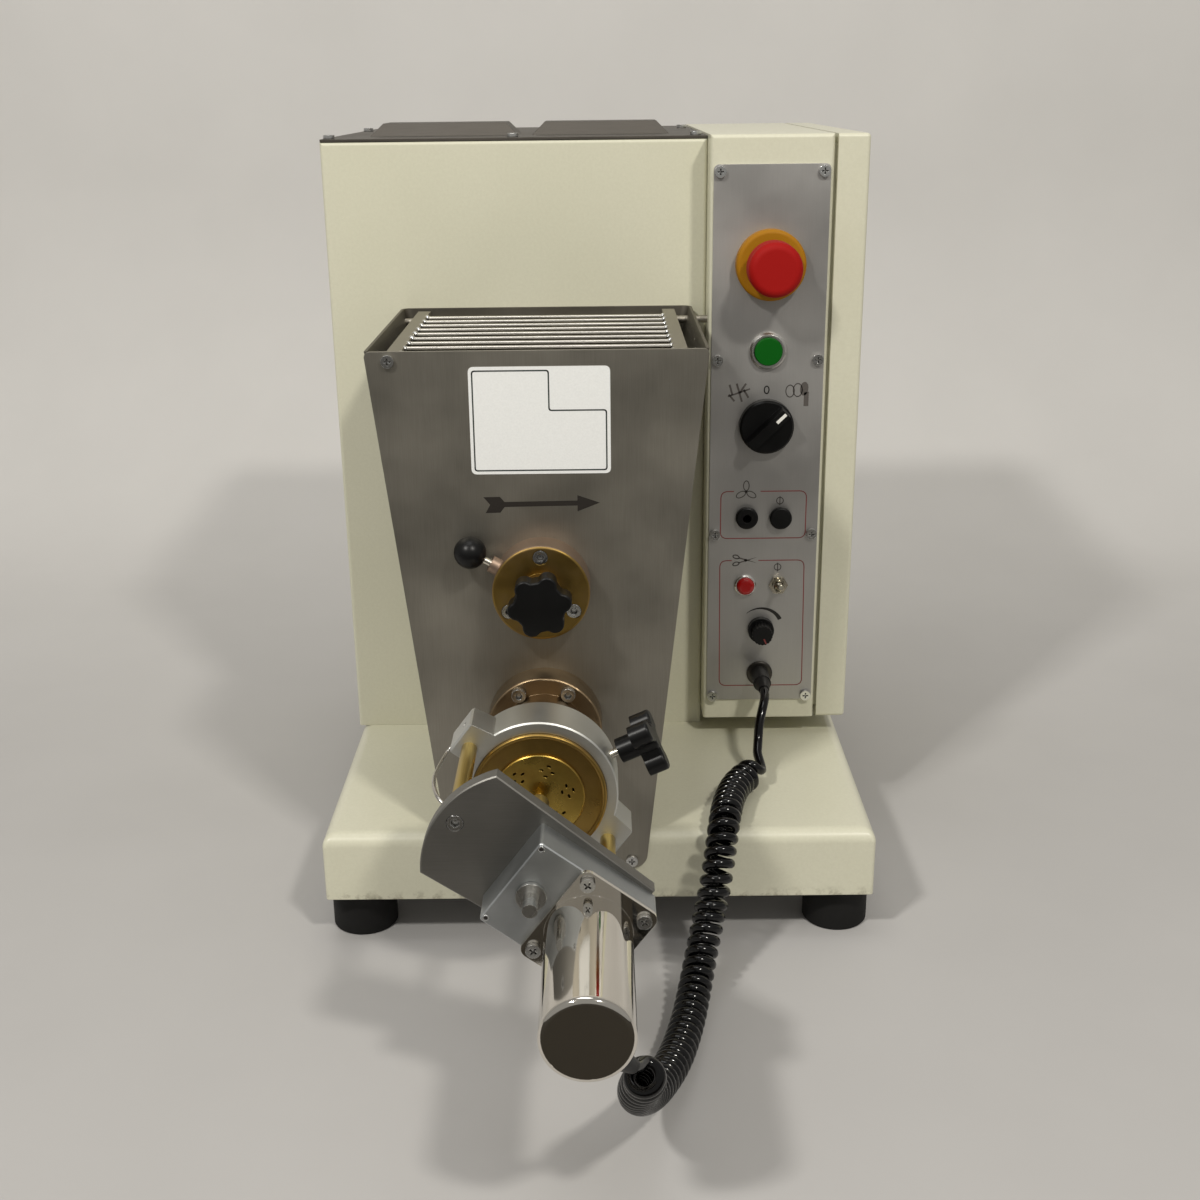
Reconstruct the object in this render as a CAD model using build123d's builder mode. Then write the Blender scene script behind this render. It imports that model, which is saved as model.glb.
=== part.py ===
"""Bench-top electric pasta maker: a mixing hopper over a screw extruder with a clamped-on cutter unit.

Millimetres. The machine stands on Z = 0 with its front towards -Y, and X = Y = 0 is the middle of its box.
"""
import os
from math import acos, atan2, cos, pi, radians, sin, sqrt, tan

from build123d import *

# ------------------------------------------------------------------ driving sizes: cabinet
foot_height = 38.6
foot_diameter = 51.0
foot_inset_x = 24.0
foot_inset_y = 36.0
sheet = 2.0
chassis_thickness = 4.0
base_half_width = 212.8
base_front = -85.0
base_height = 55.0
base_edge_radius = 10.0
rear_face = 441.0
rear_cover_thickness = 2.0
housing_left = -215.0
housing_right = 91.5
housing_front = 124.0
housing_height = 501.0
edge_radius = 3.0
lip_width = 22.0
top_plate_thickness = 2.0
hood_height = 10.0
hood_slope = 12.0
hood_margin = 29.5
hood_widths = (126.0, 117.0)
hood_gap = 8.0
hood_setback = 60.0
hood_depth = 70.0
vent_widths = (160.0, 60.0)
vent_height = 5.0
vent_pitch = 14.0
vent_count = 8
vent_drop = 130.0
inlet_rise = 70.0
inlet_width = 27.4
inlet_height = 19.4
inlet_depth = 24.0
inlet_wall = 2.0
column_right = 187.5
column_front = 94.0
column_bottom = 111.0
column_top = 598.0
side_seam = 2.5
side_panel_width = 25.0

# ------------------------------------------------------------------ driving sizes: hopper and drive
drive_x = -38.5
mixer_z = 297.0
auger_z = 190.0
hopper_top = 464.5
hopper_half_width = 118.4
hopper_side_slope = 0.11
hopper_plate_bottom = 65.0
hopper_plate_corner = 12.0
hopper_plate_top_corner = 4.0
hopper_screw_inset = 16.5
hopper_screw_drop = 6.5
hopper_low_screw = 63.7
hopper_low_screw_rise = 7.0
hopper_tab_half_width = 12.0
hopper_tab_height = 18.0
tub_inset = 0.4
hopper_back_corner = 8.0
drum_radius = 74.0
feed_slot_half_width = 18.0
feed_slot_front = -66.0
feed_slot_rear = 42.0
shaft_diameter = 20.0
shaft_clearance = 0.05
running_gap = 0.3
paddle_reach = 67.0
paddle_count = 4
paddle_pitch = 45.0
paddle_front = -40.0
paddle_arm = 10.0
paddle_width = 26.0
paddle_thickness = 5.0
paddle_twist = 35.0
hub_diameter = 69.5
hub_thickness = 23.0
hub_boss_diameter = 30.0
hub_boss_length = 8.0
hub_screw_circle = 53.0
hub_spigot = 40.0
hub_bearing_depth = 8.5
star_stud = 12.0
star_knob_diameter = 45.0
star_knob_core = 36.0
star_lobe = 6.5
star_knob_thickness = 14.0
ball_diameter = 23.0
ball_distance = 57.0
plunger_angle = 150.5
plunger_travel = 7.0
plunger_pin = 5.0
plunger_bush_diameter = 12.0
plunger_bush_length = 6.0
barrel_bore = 50.0
barrel_wall = 5.0
flange_diameter = 84.0
flange_thickness = 21.5
flange_screw_circle = 71.0
nose_diameter = 70.0
die_face = -213.0
die_diameter = 60.7
die_thickness = 13.0
die_flange = 5.0
die_slot_length = 3.0
die_slot_width = 1.6
die_slot_arm = 3.8
die_group_radius = 19.5
die_group_count = 6
die_group_start = 13.0
die_pin = 6.0
die_pin_length = 9.0
nut_diameter = 90.0
nut_length = 38.0
nut_lip = 3.0
nut_recess = 2.0
auger_pitch = 42.0
auger_core = 22.0
auger_play = 0.8
barrel_end_wall = 12.0
gear_module = 2.0
mixer_teeth = 67
auger_teeth = 40
drive_teeth = 20
gear_thickness = 18.0
gear_setback = 44.0
gear_plate_gap = 8.0
gear_plate_thickness = 10.0
gear_plate_half_width = 78.0
gear_plate_foot = 60.0
motor_shaft = 19.0
motor_diameter = 130.0
motor_length = 200.0
motor_box = 70.0

# ------------------------------------------------------------------ driving sizes: cutter unit
ring_diameter = 105.0
ring_front = -210.0
ring_width = 34.0
lug_reach = 66.5
lug_low = -9.0
lug_high = 15.0
lug_shoulder = (51.0, 17.6)
lug_depth = 28.0
lug_pin_hole = 4.0
cutter_angle = -37.0
standoff_diameter = 10.3
standoff_reach = 56.5
standoff_length = 93.0
standoff_thread = 8.0
plate_thickness = 10.0
gearbox_depth = 25.0
gearbox_half_width = 31.2
gearbox_inner_end = -15.4
gearbox_outer_end = 69.0
gearbox_wall = 3.0
cup_offset = 41.5
cup_diameter = 52.5
cup_length = 106.0
cup_wall = 1.5
cup_flange_thickness = 3.0
cup_flange_width = 55.0
cup_flange_height = 68.0
cup_flange_corner = 6.0
cup_screw_half_width = 20.5
cup_screw_half_height = 27.0
cutter_motor_length = 74.0
cutter_motor_play = 2.0
cutter_module = 1.0
cutter_wheel_teeth = 25
cutter_idler_teeth = 21
cutter_pinion_teeth = 16
cutter_idler_pin = 5.0
cutter_shaft_diameter = 9.0
cutter_shaft_front = 18.0
cutter_collar = 18.0
clamp_knob_angle = 24.0
clamp_knob_diameter = 48.0
clamp_knob_thickness = 14.0
clamp_stud = 6.0
clamp_stud_shown = 6.0
clamp_hub = 17.0
clamp_hub_length = 14.0
spring_wire = 2.5
cutter_plate_left = -54.5
cutter_plate_arc = -68.0
cutter_plate_left_half = 39.7
cutter_plate_right_half = 33.6
cutter_plate_right = 66.0
cutter_gear_thickness = 10.0
cutter_pinion_shaft = 5.0
blade_length = 29.0
blade_width = 9.0
blade_thickness = 1.5
gland_length = 14.0
gland_diameter = 13.0
gland_inset = 12.0
gland_angle = -48.0

# ------------------------------------------------------------------ driving sizes: control column
column_middle = 139.5
control_plate_width = 90.6
control_plate_bottom = 128.5
control_plate_height = 447.5
control_plate_thickness = 1.5
control_plate_corner = 4.0
plate_screw_half_spacing = 40.3
plate_screw_rows = (132.5, 278.5, 424.5, 570.5)
estop_z = 500.0
estop_collar_diameter = 55.0
estop_collar_height = 12.0
estop_head_diameter = 42.0
estop_stand = 45.0
estop_travel = 5.0
start_z = 432.0
start_bezel_diameter = 29.5
start_travel = 3.0
selector_z = 371.0
selector_diameter = 44.0
selector_skirt = 9.0
selector_grip = 10.0
selector_grip_height = 12.0
knob_shaft = 6.0
pair_half_spacing = 14.0
fan_row_z = 293.0
fan_travel = 2.0
small_bezel_diameter = 18.5
lamp_row_z = 233.5
speed_z = 194.0
speed_knob_diameter = 22.0
socket_z = 153.3
plug_diameter = 15.0
plug_length = 38.5
panel_hole = 22.0
small_hole = 12.0
control_depth = 46.0
control_neck = 8.0
contact_block_width = 24.0
contact_block_height = 28.0
fan_bore = 7.0
lens_diameter = 15.0
toggle_tilt = 12.5
toggle_ball = 8.0
toggle_length = 15.0

# ------------------------------------------------------------------ driving sizes: fasteners and cord
panel_screw = 4.8
panel_head = 9.0
panel_head_height = 3.0
panel_screw_length = 4.0
cap_screw = 6.0
cap_head = 10.0
cap_head_height = 6.0
lid_rod = 4.0
lid_bar_width = 10.0
lid_rod_count = 9
lid_half_width = 103.7
hinge_pin = 6.0
hinge_y = 112.0
hinge_z = 455.0
cord_diameter = 6.5
coil_diameter = 24.5

# ------------------------------------------------------------------ sizes worked out from them
base_top = foot_height + base_height
housing_top = base_top + housing_height
top_face = housing_top + top_plate_thickness
rear_inner = rear_face - rear_cover_thickness
plate_back = base_front
plate_front = plate_back - sheet
panel_left = column_right + side_seam
panel_right = panel_left + side_panel_width
plate_face = column_front - control_plate_thickness
hub_front = plate_front - hub_thickness
flange_front = plate_front - flange_thickness
barrel_radius = barrel_bore / 2 + barrel_wall
lid_z = hopper_top - 3.5
cutter_plate_back = ring_front - standoff_length
cutter_plate_front = cutter_plate_back - plate_thickness
gearbox_front = cutter_plate_front - gearbox_depth
cup_end = gearbox_front - cup_length
gear_back = housing_front + gear_setback
gear_front = gear_back - gear_thickness
bearing_plate = (gear_back + gear_plate_gap, gear_back + gear_plate_gap + gear_plate_thickness)
drive_z = mixer_z + gear_module * (mixer_teeth + drive_teeth) / 2
inlet_z = column_bottom + inlet_rise
contact_back = column_front + control_depth
nut_back = column_front + sheet + control_neck
toggle_pivot = plate_face - toggle_ball / 2
star_seat = hub_front - hub_boss_length - running_gap
die_seat = die_face + die_thickness
cutter_idler_offset = cutter_module * (cutter_wheel_teeth + cutter_idler_teeth) / 2
gland_direction = Vector(0.45, 0.55, -0.70).normalized()


def facing(y):
    """Sketch plane at depth y, seen from the front: X to the right, Z up."""
    return Plane.XZ.offset(-y)


def cutter_plane(y):
    """Sketch plane at depth y, turned so that its X runs from the auger axis to the cutter motor."""
    turn = radians(cutter_angle)
    return Plane(origin=(drive_x, y, auger_z), x_dir=(cos(turn), 0, sin(turn)), z_dir=(0, -1, 0))


def round_bar(plane, places, diameter, length, mode=Mode.ADD):
    """Round bars standing on a plane, one at each place."""
    with BuildSketch(plane) as outline:
        with Locations(*places):
            Circle(diameter / 2)
    extrude(outline.sketch, amount=length, mode=mode)


def disc(x, z, diameter, back, front, mode=Mode.ADD):
    """Round bar along Y between two depths."""
    round_bar(facing(back), [(x, z)], diameter, back - front, mode)


def block(x, y, z, mode=Mode.ADD):
    """Box between pairs of (low, high) planes."""
    middle = ((x[0] + x[1]) / 2, (y[0] + y[1]) / 2, (z[0] + z[1]) / 2)
    with Locations(middle):
        Box(x[1] - x[0], y[1] - y[0], z[1] - z[0], mode=mode)


def polar(x, z, circle, angles):
    """Points on a pitch circle, as (x, z), at angles in degrees."""
    return [(x + circle / 2 * cos(radians(a)), z + circle / 2 * sin(radians(a))) for a in angles]


def rectangle_points(xs, zs):
    return [(x, z) for z in zs for x in xs]


def finish(builder, name):
    """Label a finished piece and write its STEP file."""
    builder.part.label = name
    export_step(builder.part, f"parts/{name}.step")


os.makedirs("parts", exist_ok=True)

# ------------------------------------------------------------------ places of fasteners
top_screw_xs = (housing_left + 6.0, housing_left + 6.0 + 146.0, housing_right - 9.0)
top_screw_ys = (housing_front + 12.0, housing_front + 226.0)
top_screws = [(x, y) for y in top_screw_ys for x in top_screw_xs
              if (x, y) != (top_screw_xs[1], top_screw_ys[1])]
rear_screw_xs = (housing_left + 10.0, housing_right - 8.0, column_right - 8.0)
rear_screw_zs = (column_bottom + 12.0, (column_bottom + housing_top) / 2, housing_top - 12.0)
rear_screws = rectangle_points(rear_screw_xs, rear_screw_zs)
side_screw_ys = (column_front + 20.0, rear_face - 20.0)
side_screw_zs = (column_bottom + 20.0, column_top - 20.0)
side_screws = rectangle_points(side_screw_ys, side_screw_zs)
control_xs = (column_middle - plate_screw_half_spacing, column_middle + plate_screw_half_spacing)
control_screws = rectangle_points(control_xs, plate_screw_rows)
hopper_screw_top = hopper_half_width - hopper_screw_inset
hopper_screws_top = [(drive_x - hopper_screw_top, hopper_top - hopper_screw_drop)]
hopper_screws_low = rectangle_points((drive_x - hopper_low_screw, drive_x + hopper_low_screw),
                                     (hopper_plate_bottom + hopper_low_screw_rise,))
cup_screws = rectangle_points((cup_offset - cup_screw_half_width, cup_offset + cup_screw_half_width),
                              (-cup_screw_half_height, cup_screw_half_height))
hub_screws = polar(drive_x, mixer_z, hub_screw_circle, (90, 210, 330))
flange_screws = polar(drive_x, auger_z, flange_screw_circle, (0, 60, 120, 180, 240, 300))
standoffs = [(-standoff_reach, 0), (standoff_reach, 0)]
spring_seat = (2.2 - lug_reach, lug_low + 6.0)


# ================================================================== cabinet
def make_feet():
    """Four rubber feet, slightly tapered, with a domed lower edge."""
    foot_xs = (-base_half_width + foot_inset_x, base_half_width - foot_inset_x)
    foot_ys = (base_front + foot_inset_y, rear_inner - foot_inset_y)
    with BuildPart() as feet:
        with Locations(*[(x, y, foot_height / 2) for x in foot_xs for y in foot_ys]):
            Cylinder(foot_diameter / 2, foot_height)
        fillet(feet.edges().filter_by(GeomType.CIRCLE).group_by(Axis.Z)[0], radius=2.0)
    finish(feet, "rubber_feet")


def make_chassis_plate():
    """Flat steel plate that closes the base pan and carries the feet."""
    inset = sheet + running_gap
    with BuildPart() as chassis_plate:
        block((-base_half_width + inset, base_half_width - inset), (base_front + inset, rear_inner - inset),
              (foot_height, foot_height + chassis_thickness))
    finish(chassis_plate, "chassis_plate")


def make_base_pan():
    """Painted sheet pan, open below, its front top edge rolled over."""
    with BuildPart() as base_pan:
        block((-base_half_width, base_half_width), (base_front, rear_inner), (foot_height, base_top))
        fillet(base_pan.edges().filter_by(Axis.Z), radius=edge_radius)
        front_edge = base_pan.edges().group_by(Axis.Z)[-1].filter_by(Axis.X).sort_by(Axis.Y)[0]
        fillet(front_edge, radius=base_edge_radius)
        offset(amount=-sheet, openings=base_pan.faces().sort_by(Axis.Z)[0])
        round_bar(facing(base_front + 2 * sheet), hopper_screws_low, panel_screw, 4 * sheet, Mode.SUBTRACT)
    finish(base_pan, "base_pan")


def casing(builder, x, y, z, windows):
    """Hollow sheet box with a rounded front; each window box cuts one of its walls."""
    block(x, y, z)
    upright = builder.edges().filter_by(Axis.Z).group_by(Axis.Y)[0]
    upper = builder.edges().group_by(Axis.Z)[-1].filter_by(Axis.X).sort_by(Axis.Y)[0]
    fillet(upright + [upper], radius=edge_radius)
    block((x[0] + sheet, x[1] - sheet), (y[0] + sheet, y[1] - sheet), (z[0] + sheet, z[1] - sheet),
          Mode.SUBTRACT)
    for window in windows:
        block(*window, Mode.SUBTRACT)


def make_main_housing():
    """Painted sheet housing around the drive, with lips for its top plate and rear cover."""
    x = (housing_left, housing_right)
    y = (housing_front, rear_inner)
    z = (base_top, housing_top)
    inside_x = (x[0] + lip_width, x[1] - lip_width)
    inside_y = (y[0] + lip_width, y[1] - lip_width)
    top_window = (inside_x, inside_y, (z[1] - 2 * sheet, z[1] + sheet))
    bottom_window = (inside_x, inside_y, (z[0] - sheet, z[0] + 2 * sheet))
    rear_window = (inside_x, (y[1] - 2 * sheet, y[1] + sheet), (z[0] + 2 * lip_width, z[1] - lip_width))
    with BuildPart() as main_housing:
        casing(main_housing, x, y, z, (top_window, bottom_window, rear_window))
        with Locations(*[(sx, sy, housing_top) for sx, sy in top_screws]):
            Cylinder(panel_screw / 2, 4 * sheet, mode=Mode.SUBTRACT)
        housing_screws = [place for place in rear_screws if place[0] < housing_right]
        round_bar(facing(rear_face), housing_screws, panel_screw, 4 * sheet, Mode.SUBTRACT)
        round_bar(facing(housing_front + 2 * sheet), [(drive_x, mixer_z), (drive_x, auger_z)],
                  shaft_diameter + 4.0,
                  4 * sheet, Mode.SUBTRACT)
    finish(main_housing, "main_housing")


def make_top_plate():
    """Stainless top plate with two pressed hoods that vent towards the rear."""
    plate_z = (housing_top, top_face)
    first = housing_left + hood_margin
    second = first + hood_widths[0] + hood_gap
    hoods = ((first, first + hood_widths[0]), (second, second + hood_widths[1]))
    hood_y = (housing_front + hood_setback, housing_front + hood_setback + hood_depth)

    def hood(inset, height, mode):
        for low, high in hoods:
            middle = ((low + high) / 2, (hood_y[0] + hood_y[1]) / 2)
            size = (high - low - 2 * inset, hood_y[1] - hood_y[0] - 2 * inset)
            with BuildSketch(Plane.XY.offset(plate_z[0])) as foot:
                with Locations(middle):
                    Rectangle(*size)
            with BuildSketch(Plane.XY.offset(plate_z[0] + height)) as crown:
                with Locations(middle):
                    Rectangle(size[0] - 2 * hood_slope, size[1] - 2 * hood_slope)
            loft([foot.sketch.face(), crown.sketch.face()], mode=mode)

    with BuildPart() as top_plate:
        block((housing_left + 0.5, housing_right - 0.5), (housing_front + 0.5, rear_inner), plate_z)
        hood(0.0, hood_height + top_plate_thickness, Mode.ADD)
        hood(top_plate_thickness, hood_height, Mode.SUBTRACT)
        for low, high in hoods:
            block((low + 2 * hood_slope, high - 2 * hood_slope), (hood_y[1] - hood_slope, hood_y[1] + 1.0),
                  (top_face + 1.0, top_face + 5.0), Mode.SUBTRACT)
        with Locations(*[(sx, sy, housing_top) for sx, sy in top_screws]):
            Cylinder(panel_screw / 2, 4 * sheet, mode=Mode.SUBTRACT)
    finish(top_plate, "top_plate")


def inlet_block(margin, depths, mode=Mode.ADD):
    """Box around the mains inlet's outline, grown by a margin, between two depths."""
    half_width = inlet_width / 2 + margin
    half_height = inlet_height / 2 + margin
    block((column_middle - half_width, column_middle + half_width), depths,
          (inlet_z - half_height, inlet_z + half_height), mode)


def make_rear_cover():
    """Painted rear cover with two fields of vent slots and the opening for the mains inlet."""
    slot_xs = ((housing_left + housing_right) / 2, column_middle)
    with BuildPart() as rear_cover:
        block((housing_left + 1.0, column_right - 1.0), (rear_inner, rear_face), (column_bottom, housing_top))
        with BuildSketch(facing(rear_face)) as slots:
            for middle, width in zip(slot_xs, vent_widths):
                with Locations((middle, housing_top - vent_drop)):
                    with GridLocations(0, vent_pitch, 1, vent_count):
                        SlotOverall(width, vent_height)
        extrude(slots.sketch, amount=2 * sheet, mode=Mode.SUBTRACT)
        round_bar(facing(rear_face), rear_screws, panel_screw, 2 * sheet, Mode.SUBTRACT)
        inlet_block(running_gap, (rear_inner - 1.0, rear_face + 1.0), Mode.SUBTRACT)
    finish(rear_cover, "rear_cover")


def make_mains_inlet():
    """Moulded three-pin appliance inlet, flush with the rear cover."""
    floor = rear_inner - inlet_depth + 8.0
    pin_half_width = 1.0
    pin_half_height = 2.0
    with BuildPart() as mains_inlet:
        inlet_block(0.0, (rear_inner - inlet_depth, rear_face))
        inlet_block(-inlet_wall, (floor, rear_face), Mode.SUBTRACT)
        for x, z in ((-7.0, -2.5), (0.0, 2.5), (7.0, -2.5)):
            block((column_middle + x - pin_half_width, column_middle + x + pin_half_width),
                  (floor, rear_inner - 5.0),
                  (inlet_z + z - pin_half_height, inlet_z + z + pin_half_height))
    finish(mains_inlet, "mains_inlet")


def control_holes():
    """Every hole that the column and its control plate share, as (x, z, diameter)."""
    left = column_middle - pair_half_spacing
    right = column_middle + pair_half_spacing
    return ((column_middle, estop_z, panel_hole), (column_middle, start_z, panel_hole),
            (column_middle, selector_z, small_hole), (left, fan_row_z, small_hole), (right, fan_row_z,
             small_hole),
            (left, lamp_row_z, small_hole), (right, lamp_row_z, small_hole), (column_middle, speed_z,
             small_hole),
            (column_middle, socket_z, small_hole + 4.0))


def cut_control_holes():
    for x, z, diameter in control_holes():
        disc(x, z, diameter, column_front + 2 * sheet, plate_face - sheet, Mode.SUBTRACT)
    round_bar(facing(column_front + 2 * sheet), control_screws, panel_screw, 4 * sheet, Mode.SUBTRACT)


def make_control_column():
    """Painted sheet column that stands proud of the housing and holds the switches."""
    x = (housing_right, column_right)
    y = (column_front, rear_inner)
    z = (column_bottom, column_top)
    inside_y = (y[0] + 2 * lip_width, y[1] - 2 * lip_width)
    inside_z = (z[0] + 2 * lip_width, z[1] - 2 * lip_width)
    right_window = ((x[1] - 2 * sheet, x[1] + sheet), inside_y, inside_z)
    rear_window = ((x[0] + lip_width, x[1] - lip_width), (y[1] - 2 * sheet, y[1] + sheet), inside_z)
    with BuildPart() as control_column:
        casing(control_column, x, y, z, (right_window, rear_window))
        cut_control_holes()
        with BuildSketch(Plane.YZ.offset(x[0] - sheet)) as pin_hole:
            with Locations((hinge_y, hinge_z)):
                Circle(hinge_pin / 2 + running_gap)
        extrude(pin_hole.sketch, amount=3 * sheet, mode=Mode.SUBTRACT)
        column_screws = [place for place in rear_screws if place[0] > housing_right]
        round_bar(facing(rear_face), column_screws, panel_screw, 4 * sheet, Mode.SUBTRACT)
        round_bar(Plane.YZ.offset(x[1] - 2 * sheet), side_screws, panel_screw, 4 * sheet, Mode.SUBTRACT)
    finish(control_column, "control_column")


def make_side_panel():
    """Painted sheet tray that covers the right side, standing off the column on a narrow step."""
    x = (panel_left, panel_right)
    y = (column_front, rear_face)
    z = (column_bottom, column_top)
    step = 4 * sheet
    with BuildPart() as right_side_panel:
        block(x, y, z)
        outer = right_side_panel.edges().group_by(Axis.X)[-1]
        upright = right_side_panel.edges().filter_by(Axis.X)
        fillet(outer + upright, radius=edge_radius)
        block((x[0] - 1.0, x[1] - sheet), (y[0] + sheet, y[1] - sheet), (z[0] + sheet, z[1] - sheet),
              Mode.SUBTRACT)
        block((column_right, x[0] + sheet), (y[0] + sheet, y[1] - sheet), (z[0] + sheet, z[1] - sheet))
        block((column_right - 1.0, x[0]), (y[0] + sheet, y[0] + step), (z[0], z[1]), Mode.SUBTRACT)
        block((column_right - 1.0, x[0]), (y[0], y[1]), (z[1] - step, z[1]), Mode.SUBTRACT)
        block((column_right - 1.0, x[0]), (y[0], y[1]), (z[0], z[0] + step), Mode.SUBTRACT)
        block((column_right - 1.0, x[0] + 2 * sheet), (y[0] + 5 * sheet + step, y[1] - 5 * sheet - step),
              (z[0] + 5 * sheet + step, z[1] - 5 * sheet - step), Mode.SUBTRACT)
        through = side_panel_width + side_seam + sheet
        round_bar(Plane.YZ.offset(column_right - 1.0), side_screws, panel_screw, through, Mode.SUBTRACT)
        round_bar(Plane.YZ.offset(x[0]), side_screws, panel_head + 2.0, side_panel_width + sheet,
                  Mode.SUBTRACT)
    finish(right_side_panel, "right_side_panel")


def cross_head(plane, places, grip):
    """Pan-head screws with a cross slot, standing on a plane with their shanks going into it."""
    round_bar(plane, places, panel_head, panel_head_height)
    with BuildSketch(plane.offset(panel_head_height - 1.0)) as slots:
        with Locations(*places):
            Rectangle(panel_head * 0.55, 1.1)
            Rectangle(1.1, panel_head * 0.55)
    extrude(slots.sketch, amount=2.0, mode=Mode.SUBTRACT)
    round_bar(plane.offset(-grip), places, panel_screw - 0.2, grip)


def make_panel_screws():
    """All the identical cross-head screws: top plate, rear cover, panels, hopper and motor cup."""
    with BuildPart() as panel_screws:
        cross_head(Plane.XY.offset(top_face), top_screws, panel_screw_length)
        cross_head(Plane.XZ.rotated((180, 0, 0)).offset(rear_face), [(x, -z) for x, z in rear_screws],
                   panel_screw_length)
        cross_head(Plane.YZ.offset(panel_left + sheet), side_screws, panel_screw_length + side_seam)
        cross_head(facing(plate_face), control_screws, panel_screw_length)
        cross_head(facing(plate_front), hopper_screws_top + hopper_screws_low, panel_screw_length)
        cross_head(cutter_plane(gearbox_front - cup_flange_thickness), cup_screws,
                   cup_flange_thickness + gearbox_wall)
    finish(panel_screws, "panel_screws")


# ================================================================== controls
def make_control_plate():
    """Brushed steel plate over the front of the column."""
    with BuildPart() as control_plate:
        with BuildSketch(facing(column_front)) as outline:
            with Locations((column_middle, control_plate_bottom + control_plate_height / 2)):
                RectangleRounded(control_plate_width, control_plate_height, control_plate_corner)
        extrude(outline.sketch, amount=control_plate_thickness)
        cut_control_holes()
    finish(control_plate, "control_plate")


def make_estop():
    """Emergency stop: a round collar through the panel and a latching mushroom button."""
    stem = panel_hole - 6.0
    with BuildPart() as estop_collar:
        disc(column_middle, estop_z, estop_collar_diameter, plate_face, plate_face - estop_collar_height)
        fillet(estop_collar.edges().group_by(Axis.Y)[0], radius=3.0)
        disc(column_middle, estop_z, panel_hole - 0.2, nut_back, plate_face)
        disc(column_middle, estop_z, stem + 2 * running_gap, nut_back + 1.0,
             plate_face - estop_collar_height - 1.0,
             Mode.SUBTRACT)
    finish(estop_collar, "estop_collar")
    head_front = plate_face - estop_stand
    head_back = plate_face - estop_collar_height - estop_travel - 6.0
    with BuildPart() as estop_mushroom:
        disc(column_middle, estop_z, estop_head_diameter, head_back, head_front)
        fillet(estop_mushroom.edges().group_by(Axis.Y)[0], radius=6.0)
        disc(column_middle, estop_z, stem, nut_back - estop_travel - running_gap, head_back)
    finish(estop_mushroom, "estop_mushroom")


def make_start():
    """Start button: a bright bezel screwed through the panel and a green plunger."""
    bore = panel_hole - 3.0
    cap = bore + 4.0
    cap_back = plate_face - 1.0 - start_travel - running_gap
    with BuildPart() as start_bezel:
        disc(column_middle, start_z, start_bezel_diameter, plate_face, plate_face - 4.0)
        chamfer(start_bezel.edges().group_by(Axis.Y)[0], length=1.5)
        disc(column_middle, start_z, panel_hole - 0.2, nut_back, plate_face)
        disc(column_middle, start_z, bore, nut_back + 1.0, plate_face - 5.0, Mode.SUBTRACT)
        disc(column_middle, start_z, cap, plate_face - 1.0, plate_face - 5.0, Mode.SUBTRACT)
    finish(start_bezel, "start_bezel")
    with BuildPart() as start_button:
        disc(column_middle, start_z, cap - 2 * running_gap, cap_back, plate_face - 7.0)
        fillet(start_button.edges().group_by(Axis.Y)[0], radius=1.0)
        disc(column_middle, start_z, bore - 2 * running_gap, nut_back - start_travel - running_gap, cap_back)
    finish(start_button, "start_button")


def make_contact_blocks():
    """Contact blocks of the stop, start and fan buttons; the fan button slides in the neck of its block."""
    half_width = contact_block_width / 2
    half_height = contact_block_height / 2
    fan_x = column_middle + pair_half_spacing
    inner_face = column_front + sheet
    with BuildPart() as contact_blocks:
        for x, front, z in ((column_middle, nut_back, estop_z), (column_middle, nut_back, start_z),
                            (fan_x, inner_face, fan_row_z)):
            block((x - half_width, x + half_width), (front, contact_back), (z - half_height, z + half_height))
        disc(fan_x, fan_row_z, small_hole, nut_back, inner_face - 1.0, Mode.SUBTRACT)
    finish(contact_blocks, "contact_blocks")


def make_selector():
    """Three-way selector: a round knob with a raised grip, turning the shaft of a cam switch."""
    knob_back = plate_face - running_gap
    skirt_front = knob_back - selector_skirt
    shaft_end = nut_back + 4.0
    half = selector_diameter / 2
    with BuildPart() as selector_knob:
        disc(column_middle, selector_z, selector_diameter, knob_back, skirt_front)
        chamfer(selector_knob.edges().group_by(Axis.Y)[0], length=1.5)
        with BuildSketch(facing(skirt_front)) as grip:
            with Locations(Location((column_middle, selector_z), (0, 0, -46))):
                Rectangle(selector_grip, selector_diameter - 3.0)
        extrude(grip.sketch, amount=selector_grip_height, taper=4)
        disc(column_middle, selector_z, knob_shaft, shaft_end, knob_back)
    finish(selector_knob, "selector_knob")
    with BuildPart() as cam_switch:
        block((column_middle - half, column_middle + half), (column_front + sheet, contact_back),
              (selector_z - half, selector_z + half))
        disc(column_middle, selector_z, knob_shaft + 2 * running_gap, shaft_end + running_gap, column_front,
             Mode.SUBTRACT)
    finish(cam_switch, "cam_switch")


def make_fan_controls():
    """Jack socket for a table fan and the push button that switches it."""
    left = column_middle - pair_half_spacing
    right = column_middle + pair_half_spacing
    with BuildPart() as fan_socket:
        disc(left, fan_row_z, small_bezel_diameter, plate_face, plate_face - 5.0)
        fillet(fan_socket.edges().group_by(Axis.Y)[0], radius=1.5)
        disc(left, fan_row_z, small_hole - 0.2, nut_back + 12.0, plate_face)
        disc(left, fan_row_z, fan_bore, nut_back + 6.0, plate_face - 6.0, Mode.SUBTRACT)
    finish(fan_socket, "fan_socket")
    with BuildPart() as fan_button:
        cap_back = plate_face - fan_travel - running_gap
        disc(right, fan_row_z, small_bezel_diameter, cap_back, cap_back - 4.0)
        fillet(fan_button.edges().group_by(Axis.Y)[0], radius=1.5)
        disc(right, fan_row_z, small_hole - 2 * running_gap, nut_back - fan_travel - running_gap, cap_back)
    finish(fan_button, "fan_button")


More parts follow.
